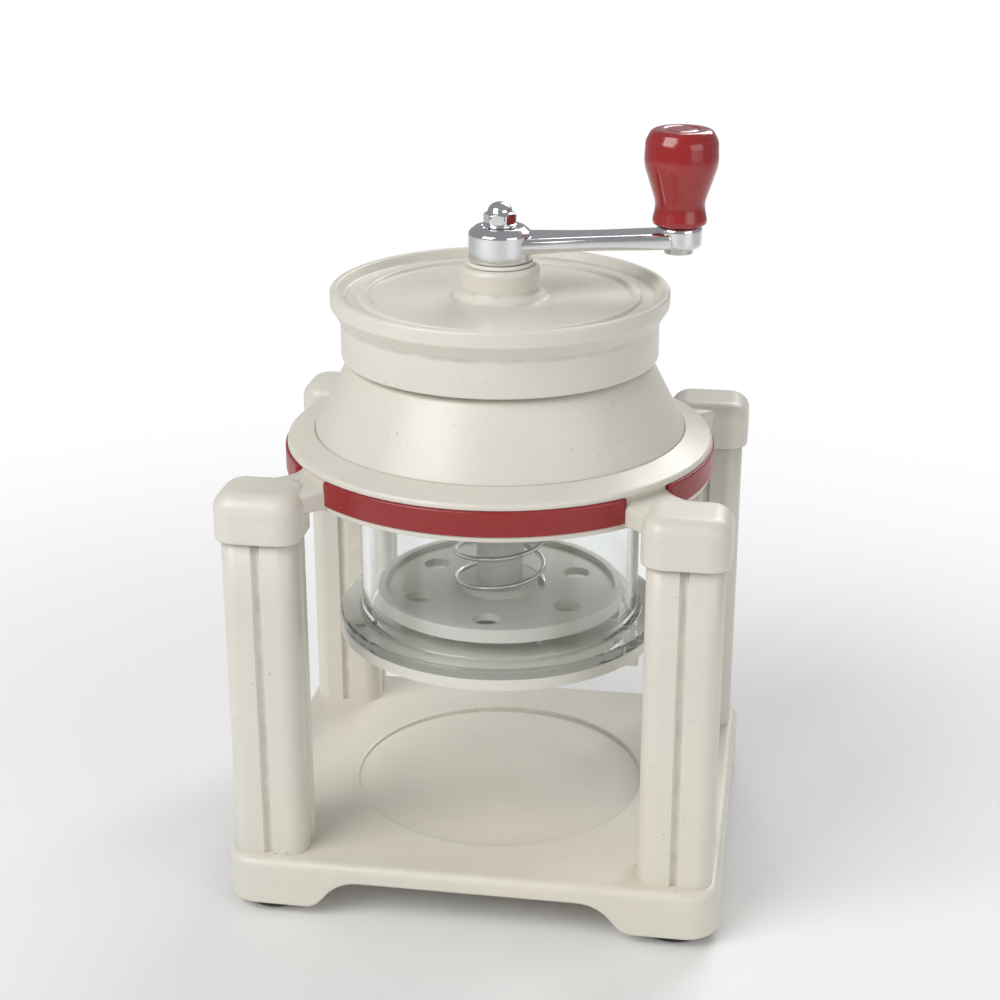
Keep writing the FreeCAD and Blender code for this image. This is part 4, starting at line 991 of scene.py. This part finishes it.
class SHAVER_OT_trim_band(PieceOperator, bpy.types.Operator):
    """Make the dark strips that lie in the deck's groove between the lugs"""

    bl_idname = "shaver.trim_band"
    bl_label = "Trim band"

    depth = 1.35

    def make(self, materials):
        spots = np.array([v.co[:2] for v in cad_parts["collar_band"].data.vertices])
        angles = np.sort(np.arctan2(spots[:, 1], spots[:, 0]))
        gaps = np.diff(np.concatenate([angles, angles[:1] + 2 * np.pi]))
        breaks = np.sort(np.argsort(gaps)[-4:])
        section, worn = rounded_path([
            (DECK_RADIUS - self.depth, BAND_LOW[2], 0.1), (BAND_HIGH[0], BAND_LOW[2], 0.7),
            (BAND_HIGH[0], BAND_HIGH[2], 0.7), (DECK_RADIUS - self.depth, BAND_HIGH[2], 0.1),
        ], True)
        for number, index in enumerate(breaks):
            start = angles[(index + 1) % len(angles)]
            end = angles[breaks[(number + 1) % 4]]
            span = (end - start) % (2 * np.pi)
            turn = start + span * np.linspace(0.0, 1.0, 65)
            grid = np.stack([section[:, 0][:, None] * np.cos(turn),
                             section[:, 0][:, None] * np.sin(turn),
                             np.repeat(section[:, 1][:, None], len(turn), axis=1)], axis=2)
            wear = np.repeat(worn[:, None], len(turn), axis=1)
            piece = sheet_mesh(f"trim_strip_{number}", grid, True, False, caps=True, wear=wear)
            dress(piece, "main", materials["trim_plastic"], ["collar_band"])


class SHAVER_OT_ice_drum(PieceOperator, bpy.types.Operator):
    """Make the clear drum with its two screw flanges"""

    bl_idname = "shaver.ice_drum"
    bl_label = "Ice drum"

    flange_height = 4.0
    root = 0.4

    def make(self, materials):
        foot, top = DRUM_LOW[2], DRUM_HIGH[2]
        flange = DRUM_HIGH[0]
        low_face = foot + self.flange_height
        high_face = DECK_FOOT - self.flange_height
        piece = lathe("clear_drum", [
            (DRUM_INNER, foot, 0.3), (flange, foot, 0.4), (flange, low_face, 1.0),
            (DRUM_OUTER + self.root, low_face, 1.5),
            (DRUM_OUTER, low_face + self.flange_height, 3.0),
            (DRUM_OUTER, high_face - self.flange_height, 3.0),
            (DRUM_OUTER + self.root, high_face, 1.5), (flange, high_face, 1.0),
            (flange, DECK_FOOT, 0.4), (DRUM_OUTER, DECK_FOOT, 0.2), (DRUM_OUTER, top, 0.4),
            (DRUM_INNER, top, 0.4),
        ], steps=192)
        dress(piece, "main", materials["drum_plastic"], ["ice_drum"])


class SHAVER_OT_blade_unit(PieceOperator, bpy.types.Operator):
    """Finish the slotted plate, the blade, its holder and the small screws"""

    bl_idname = "shaver.blade_unit"
    bl_label = "Blade unit"

    def make(self, materials):
        refinish("blade_plate", materials["inner_plastic"])
        refinish("blade_holder", materials["inner_plastic"])
        refinish("shaving_blade", materials["ground_steel"])
        for node in ("blade_screws", "floor_screws", "drum_screws", "tie_screws"):
            refinish(node, materials["zinc_plate"])


class SHAVER_OT_cover(PieceOperator, bpy.types.Operator):
    """Make the dish-shaped cover with its double rim, boss and thread"""

    bl_idname = "shaver.cover"
    bl_label = "Cover"

    thread_gap = 0.4
    skirt_wall = 2.5
    top_wall = 3.0
    rim_rise = 3.2
    boss_radius = 14.0
    bore = 9.06
    bead = 48.0
    bead_rise = 1.2
    thread_lift = 1.7
    thread_turn = math.radians(39.6)
    thread_climb = 4.4

    def make(self, materials):
        shell = materials["shell_plastic"]
        skirt = NECK_RADIUS + THREAD_DEPTH + self.thread_gap
        wall = skirt + self.skirt_wall
        under = SEAL_HIGH[2]
        top = under + self.top_wall
        rim = top + self.rim_rise
        dish = COVER_HIGH[0]
        boss_top = COVER_HIGH[2]
        bead_top = top + self.bead_rise
        piece = lathe("dish_cover", [
            (self.bore, under, 0.2), (skirt, under, 0.6), (skirt, COVER_LOW[2], 0.3),
            (wall, COVER_LOW[2], 0.7), (wall, under - 4.5, 3.0), (dish, under + 1.0, 2.0),
            (dish, rim, 1.1), (dish - 2.4, rim, 0.9), (dish - 4.8, top, 1.6),
            (self.bead + 2.2, top, 0.5), (self.bead + 1.2, bead_top, 0.5),
            (self.bead - 1.2, bead_top, 0.5), (self.bead - 2.2, top, 0.5),
            (self.boss_radius + 3.0, top, 2.0), (self.boss_radius, top + 3.0, 2.0),
            (self.boss_radius, boss_top, 1.7), (self.bore, boss_top, 0.3),
        ], steps=224)
        dress(piece, "cover", shell, ["cover", "cover_ring"])
        make_thread("cover_thread_", skirt, self.thread_turn, COVER_LOW[2] + self.thread_lift,
                    self.thread_climb, 33, -THREAD_DEPTH, shell, "cover", "cover_ring")


class SHAVER_OT_cover_inserts(PieceOperator, bpy.types.Operator):
    """Make the seal, the spindle bush and the thrust washer"""

    bl_idname = "shaver.cover_inserts"
    bl_label = "Seal, bush and washer"

    bush_radius = 9.0
    bush_flange = 2.6
    bush_bore = JOURNAL_RADIUS + 0.06
    washer_bore = JOURNAL_RADIUS + 0.18

    def make(self, materials):
        low, high = SEAL_LOW, SEAL_HIGH
        seal = lathe("seal_ring", [(DRUM_INNER, low[2], 0.5), (high[0], low[2], 0.5),
                                   (high[0], high[2], 0.2), (DRUM_INNER, high[2], 0.2)])
        dress(seal, "cover", materials["seal_rubber"], ["cover_seal"])
        low, high = cad("spindle_bush")
        flange = low[2] + self.bush_flange
        bush = lathe("nylon_bush", [
            (self.bush_bore, low[2], 0.3), (high[0], low[2], 0.5), (high[0], flange, 0.3),
            (self.bush_radius, flange, 0.1), (self.bush_radius, high[2], 0.3),
            (self.bush_bore, high[2], 0.4),
        ], steps=96)
        dress(bush, "cover", materials["nylon"], ["spindle_bush"])
        low, high = WASHER_LOW, WASHER_HIGH
        washer = lathe("nylon_washer", [
            (self.washer_bore, low[2], 0.2), (high[0], low[2], 0.3), (high[0], high[2], 0.3),
            (self.washer_bore, high[2], 0.2),
        ], steps=96)
        dress(washer, "washer", materials["nylon"], ["thrust_washer"])


class SHAVER_OT_spindle_unit(PieceOperator, bpy.types.Operator):
    """Finish the spindle and clip, and make the spring and its cup"""

    bl_idname = "shaver.spindle_unit"
    bl_label = "Spindle and spring"

    wire = 0.9
    cup_wall = 1.2
    cup_floor = 1.8
    cup_bore = JOURNAL_RADIUS + 0.05
    steps_a_turn = 44
    close_turns = 0.75
    close_pace = 0.16
    ground_tip = 0.5
    end_play = 1.8

    def make(self, materials):
        refinish("spindle", materials["drawn_steel"])
        refinish("retaining_clip", materials["coil_steel"])
        low, high = cad("spring_cup")
        floor = high[2] - self.cup_floor
        inside = high[0] - self.cup_wall
        cup = lathe("spring_seat", [
            (self.cup_bore, floor, 0.2), (inside, floor, 0.3), (inside, low[2], 0.3),
            (high[0], low[2], 0.5), (high[0], high[2], 0.9), (self.cup_bore, high[2], 0.3),
        ], steps=128)
        dress(cup, "crank", materials["zinc_plate"], ["spring_cup"])
        self.make_spring(materials["coil_steel"])

    def make_spring(self, material):
        """Round wire on a helix whose first and last turns lie close and whose ends are ground."""
        turns = details().spring_turns
        radius = SPRING_HIGH[0] - self.wire
        steps = int(turns * self.steps_a_turn)
        share = np.linspace(0.0, 1.0, steps)
        angle = 2 * np.pi * turns * share
        flat = self.close_turns / turns
        pace = np.clip(np.minimum(share, 1 - share) / flat, self.close_pace, 1.0)
        rise = np.concatenate([[0.0], np.cumsum((pace[1:] + pace[:-1]) / 2)])
        foot = SPRING_LOW[2] + self.wire
        length = SPRING_HIGH[2] - SPRING_LOW[2] - 2 * self.wire
        height = foot + length * rise / rise[-1]
        origins = np.stack([radius * np.cos(angle), radius * np.sin(angle), height], axis=1)
        tangent = np.gradient(origins, axis=0)
        tangent /= np.linalg.norm(tangent, axis=1)[:, None]
        outward = np.stack([np.cos(angle), np.sin(angle), np.zeros(steps)], axis=1)
        upward = np.cross(outward, tangent)
        around = np.linspace(0.0, 2 * np.pi, 14, endpoint=False)
        section = np.stack([np.cos(around), np.sin(around)], axis=1) * self.wire
        from_end = np.minimum(np.arange(steps), np.arange(steps)[::-1])
        ground = np.minimum(self.ground_tip + 0.25 * from_end, 1.0)
        piece = swept("coil_spring", (origins, outward, upward), section, (ground, ground))
        dress(piece, "crank", material, ["presser_spring"])
        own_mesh(piece)


class SHAVER_OT_presser(PieceOperator, bpy.types.Operator):
    """Finish the vented presser plate, its sleeve, spikes and cross pin"""

    bl_idname = "shaver.presser"
    bl_label = "Presser"

    def make(self, materials):
        refinish("presser_plate", materials["inner_plastic"])
        refinish("presser_stem", materials["inner_plastic"])
        refinish("presser_spikes", materials["drawn_steel"])
        refinish("stem_pin", materials["drawn_steel"])


class SHAVER_OT_crank_arm(PieceOperator, bpy.types.Operator):
    """Make the crank's hub, tapered arm and end boss, and the domed cap nut"""

    bl_idname = "shaver.crank_arm"
    bl_label = "Crank arm"

    hub_radius = 11.0
    hub_bore = 3.2
    hub_chamfer = (2.4, 2.0)
    recess_radius = 6.0
    recess_depth = 0.4
    end_radius = 8.0
    end_height = 8.0
    end_bore = 3.05
    arm_lift = 3.0
    thickness = 6.0

    def make(self, materials):
        chrome = materials["chrome_plate"]
        foot, top = ARM_LOW[2], ARM_HIGH[2]
        recess = top - self.recess_depth
        hub = lathe("crank_hub", [
            (self.hub_bore, foot, 0.2), (self.hub_radius, foot, 1.0),
            (self.hub_radius, top - self.hub_chamfer[1], 1.5),
            (self.hub_radius - self.hub_chamfer[0], top, 1.5),
            (self.recess_radius + 0.6, top, 0.4), (self.recess_radius, recess, 0.2),
            (self.hub_bore, recess, 0.2),
        ], steps=96)
        dress(hub, "crank", chrome, ["crank_arm"])
        arm_foot = foot + self.arm_lift
        end_top = arm_foot + self.end_height
        end = lathe("crank_eye", [
            (self.end_bore, arm_foot, 0.2), (self.end_radius, arm_foot, 1.6),
            (self.end_radius, end_top, 1.6), (self.end_bore, end_top, 0.3),
        ], centre=KNOB_CENTRE, steps=96)
        dress(end, "crank", chrome, ["crank_arm"])
        self.make_bar(arm_foot + self.thickness / 2, chrome)
        self.make_nut(top, chrome)

    def make_bar(self, middle, material):
        """Rounded flat section along the crank, waisted between the hub and the eye."""
        steps = 61
        share = np.linspace(0.0, 1.0, steps)
        along = np.array([math.cos(CRANK_ANGLE), math.sin(CRANK_ANGLE), 0.0])
        side = np.array([-along[1], along[0], 0.0])
        origins = along * (CRANK_RADIUS * (0.06 + 0.88 * share))[:, None]
        origins[:, 2] = middle
        waist = np.sin(np.pi * share) ** 2
        half_width = 9.0 * (1 - share) + 6.8 * share - 1.3 * waist
        half_height = self.thickness / 2 * (1.0 - 0.08 * waist)
        frames = (origins, np.tile(side, (steps, 1)), np.tile([0.0, 0.0, 1.0], (steps, 1)))
        bar = swept("crank_bar", frames, boxy_section(0.42, 72), (half_width, half_height))
        dress(bar, "crank", material, ["crank_arm"])

    def make_nut(self, foot, material):
        """Cap nut: hexagon cut by a cone at both ends, on a washer face, under a dome."""
        flat, flange, corner, dome, dome_foot = 5.0, 6.0, 5.8, 4.3, 5.05
        dome_height = cad("hub_nut")[1][2] - foot - dome_foot
        steps = 96
        angles = np.linspace(0.0, 2 * np.pi, steps, endpoint=False)
        hexed = hexagon_reach(angles, flat)

        def round_ring(radius, rise):
            return np.full(steps, radius), foot + rise

        rings = [round_ring(self.hub_bore, 0.0), round_ring(flange - 0.2, 0.0),
                 round_ring(flange, 0.2), round_ring(flange, 0.8),
                 round_ring(flange - 0.2, 1.0), (np.minimum(hexed, 5.15), foot + 1.02)]
        for share in np.linspace(0.0, 1.0, 5):
            rings.append((np.minimum(hexed, corner - 0.6 * (1 - share)),
                          foot + 1.1 + 0.5 * share))
        for share in np.linspace(0.0, 1.0, 7):
            rings.append((np.minimum(hexed, corner - 1.4 * share), foot + 4.1 + 0.9 * share))
        for turn in np.linspace(0.0, 1.45, 9):
            rings.append(round_ring(dome * math.cos(turn),
                                    dome_foot + dome_height * math.sin(turn)))
        grid = np.stack([np.column_stack([reach * np.cos(angles), reach * np.sin(angles),
                                          np.full(steps, height)])
                         for reach, height in rings], axis=1)
        nut = sheet_mesh("cap_nut", grid, True, False, caps=True)
        dress(nut, "crank", material, ["hub_nut"])


class SHAVER_OT_crank_knob(PieceOperator, bpy.types.Operator):
    """Make the waisted knob and its cap, and finish the pin"""

    bl_idname = "shaver.crank_knob"
    bl_label = "Crank knob"

    bore = 3.06
    foot_radius = 9.5
    waist_radius = 8.4
    belly_radius = 12.99
    crown_radius = 10.5
    well_radius = 6.0
    well_depth = 9.0
    cap_gap = 0.06

    def make(self, materials):
        red = materials["knob_plastic"]
        foot, top = KNOB_LOW[2], KNOB_HIGH[2]
        well = top - self.well_depth
        knob = lathe("turned_knob", [
            (self.bore, foot, 0.2), (self.foot_radius, foot, 1.0),
            (self.foot_radius, foot + 1.8, 0.8), (self.waist_radius, foot + 7.0, 9.0),
            (self.belly_radius, foot + 21.0, 14.0), (self.belly_radius - 0.39, foot + 29.0, 5.0),
            (self.crown_radius, top - 0.1, 2.6), (self.well_radius + 1.0, top, 0.5),
            (self.well_radius, top - 0.2, 0.2), (self.well_radius, well, 0.2),
            (self.bore, well, 0.2),
        ], centre=KNOB_CENTRE, steps=128)
        dress(knob, "knob", red, ["crank_knob"])
        low, high = cad("knob_cap")
        cap_radius = self.well_radius - self.cap_gap
        cap = lathe("knob_button", [
            (0.0, low[2], 0.0), (cap_radius, low[2], 0.2), (cap_radius, high[2] - 0.35, 0.35),
            (4.6, high[2] - 0.02, 1.2), (0.0, high[2], 0.0),
        ], closed=False, centre=KNOB_CENTRE, steps=96)
        dress(cap, "knob", red, ["knob_cap"])
        refinish("knob_pin", materials["drawn_steel"])


# Stage ------------------------------------------------------------------------------

def seen_rays(tree):
    """1 for rays that come from the eye, straight or through clear plastic; else 0."""
    rays = tree.nodes.new("ShaderNodeLightPath")
    seen = tree.nodes.new("ShaderNodeMath")
    seen.operation = "MAXIMUM"
    tree.links.new(rays.outputs["Is Camera Ray"], seen.inputs[0])
    tree.links.new(rays.outputs["Is Transmission Ray"], seen.inputs[1])
    return seen.outputs[0]


class SHAVER_OT_stage(bpy.types.Operator):
    """Make the pale table top, the soft lamps and the camera"""

    bl_idname = "shaver.stage"
    bl_label = "Stage"

    sensor_width = 36.0  # millimetres
    view_width = 0.325  # metres across the picture, at the part's front
    fade_start = 0.10  # metres from the middle
    fade_end = 0.55

    def execute(self, context):
        scene = context.scene
        self.make_floor()
        self.make_world(scene)
        self.make_lamps(scene)
        self.make_camera(scene)
        scene.view_settings.view_transform = "Standard"
        return {"FINISHED"}

    def make_floor(self):
        """Level sheet: z = 0 over a grid of x and y, faced upward."""
        across = np.linspace(-4000.0, 4000.0, 41)
        back = np.linspace(-3000.0, 5000.0, 81)
        x, y = np.meshgrid(across, back, indexing="ij")
        grid = np.stack([x, y, np.zeros_like(x)], axis=2)
        piece = sheet_mesh("table_top", grid, False, False)
        if piece.data.polygons[0].normal.z < 0:
            piece.data.flip_normals()
        finish = Finish("table_finish", colours().floor, 0.6)
        soft = finish.remap(finish.noise(6.0, 4.0), 0.3, 0.7, 0.0, 1.0)
        base = tuple(colours().floor) + (1.0,)
        finish.paint(finish.blend_colour(soft, shade(base, 0.985), base))
        finish.bump(finish.noise(900.0, 2.0), 0.05, 0.0002)
        self.fade_to_white(finish)
        piece.data.materials.append(finish.material)

    def fade_to_white(self, finish):
        """Away from the part the floor turns white to the eye, and still takes shadows."""
        reach = finish.node("ShaderNodeVectorMath", operation="LENGTH")
        finish.link(finish.place, reach.inputs[0])
        fade = finish.node("ShaderNodeMapRange", interpolation_type="SMOOTHSTEP")
        finish.link(reach.outputs["Value"], fade.inputs["Value"])
        fade.inputs["From Min"].default_value = self.fade_start
        fade.inputs["From Max"].default_value = self.fade_end
        share = finish.math("MULTIPLY", fade.outputs["Result"], seen_rays(finish.tree))
        glow = finish.node("ShaderNodeEmission")
        mix = finish.node("ShaderNodeMixShader")
        finish.link(share, mix.inputs[0])
        finish.link(finish.shader.outputs[0], mix.inputs[1])
        finish.link(glow.outputs[0], mix.inputs[2])
        finish.link(mix.outputs[0], finish.tree.nodes["Material Output"].inputs["Surface"])

    def make_world(self, scene):
        world = bpy.data.worlds.new("soft_room")
        scene.world = world
        world.use_nodes = True
        tree = world.node_tree
        tree.nodes.clear()
        room = tree.nodes.new("ShaderNodeBackground")
        room.inputs["Color"].default_value = (0.92, 0.94, 0.97, 1.0)
        room.inputs["Strength"].default_value = 0.34
        sky = tree.nodes.new("ShaderNodeBackground")
        sky.inputs["Color"].default_value = (1.0, 1.0, 1.0, 1.0)
        sky.inputs["Strength"].default_value = 1.0
        mix = tree.nodes.new("ShaderNodeMixShader")
        tree.links.new(seen_rays(tree), mix.inputs[0])
        tree.links.new(room.outputs[0], mix.inputs[1])
        tree.links.new(sky.outputs[0], mix.inputs[2])
        out = tree.nodes.new("ShaderNodeOutputWorld")
        tree.links.new(mix.outputs[0], out.inputs["Surface"])

    def make_lamps(self, scene):
        aim = np.array([0.0, 0.0, 0.13])
        # Each lamp is a name, a place and a size in metres, and a power in watts.
        lamps = (("key_lamp", (-0.75, -0.85, 1.05), 0.95, 14.5),
                 ("fill_lamp", (1.05, -0.75, 0.55), 0.9, 4.0),
                 ("rear_lamp", (0.35, 1.05, 0.95), 0.7, 8.0))
        for name, place, size, power in lamps:
            light = bpy.data.lights.new(name, "AREA")
            light.energy = power
            light.size = size
            lamp = bpy.data.objects.new(name, light)
            scene.collection.objects.link(lamp)
            lamp.location = place
            lamp.rotation_euler = facing(np.array(place), aim)

    def make_camera(self, scene):
        """Camera on a sphere round the middle of the part, wide enough to hold it all."""
        settings = details()
        low, high = (np.array(corner) for corner in CAD_BOUNDS)
        aim = (low + high) / 2
        aim[:2] = (0.0, 0.0)
        lens = bpy.data.cameras.new("studio_camera")
        lens.lens = settings.focal_length
        lens.sensor_width = self.sensor_width
        lens.clip_start = 0.01
        distance = self.view_width * settings.focal_length / lens.sensor_width
        distance = distance + float(high[1] - low[1]) / 2
        flat = math.cos(settings.elevation)
        away = np.array([math.sin(settings.azimuth) * flat, -math.cos(settings.azimuth) * flat,
                         math.sin(settings.elevation)])
        camera = bpy.data.objects.new("studio_camera", lens)
        scene.collection.objects.link(camera)
        camera.location = aim + away * distance
        camera.rotation_euler = facing(aim + away * distance, aim)
        scene.camera = camera


def facing(place, aim):
    """Turn that points an object's -Z at the aim with its Y up."""
    step = aim - place
    return (math.atan2(math.hypot(step[0], step[1]), -step[2]), 0.0,
            math.atan2(step[1], step[0]) - math.pi / 2)


PIECE_OPERATORS = (
    SHAVER_OT_base_tray, SHAVER_OT_foot_pads, SHAVER_OT_posts, SHAVER_OT_deck_ring,
    SHAVER_OT_neck, SHAVER_OT_trim_band, SHAVER_OT_ice_drum, SHAVER_OT_blade_unit, SHAVER_OT_cover,
    SHAVER_OT_cover_inserts, SHAVER_OT_spindle_unit, SHAVER_OT_presser,
    SHAVER_OT_crank_arm, SHAVER_OT_crank_knob, SHAVER_OT_stage,
)


class SHAVER_PT_panel(bpy.types.Panel):
    """Lists the makers of the pieces and the stage, and their settings"""

    bl_label = "Ice shaver"
    bl_space_type = "VIEW_3D"
    bl_region_type = "UI"
    bl_category = "Ice shaver"

    def draw(self, context):
        for operator in PIECE_OPERATORS:
            self.layout.operator(operator.bl_idname)
        for group in (context.scene.shaver_colours, context.scene.shaver_details):
            for name in group.bl_rna.properties.keys():
                if name not in ("rna_type", "name"):
                    self.layout.prop(group, name)


CLASSES = (ShaverColours, ShaverDetails) + PIECE_OPERATORS + (SHAVER_PT_panel,)


def register():
    for item in CLASSES:
        bpy.utils.register_class(item)
    bpy.types.Scene.shaver_colours = bpy.props.PointerProperty(type=ShaverColours)
    bpy.types.Scene.shaver_details = bpy.props.PointerProperty(type=ShaverDetails)


def unregister():
    del bpy.types.Scene.shaver_details
    del bpy.types.Scene.shaver_colours
    for item in reversed(CLASSES):
        bpy.utils.unregister_class(item)


def main():
    register()
    for operator in PIECE_OPERATORS:
        group, name = operator.bl_idname.split(".")
        getattr(getattr(bpy.ops, group), name)()


if __name__ == "__main__":
    main()
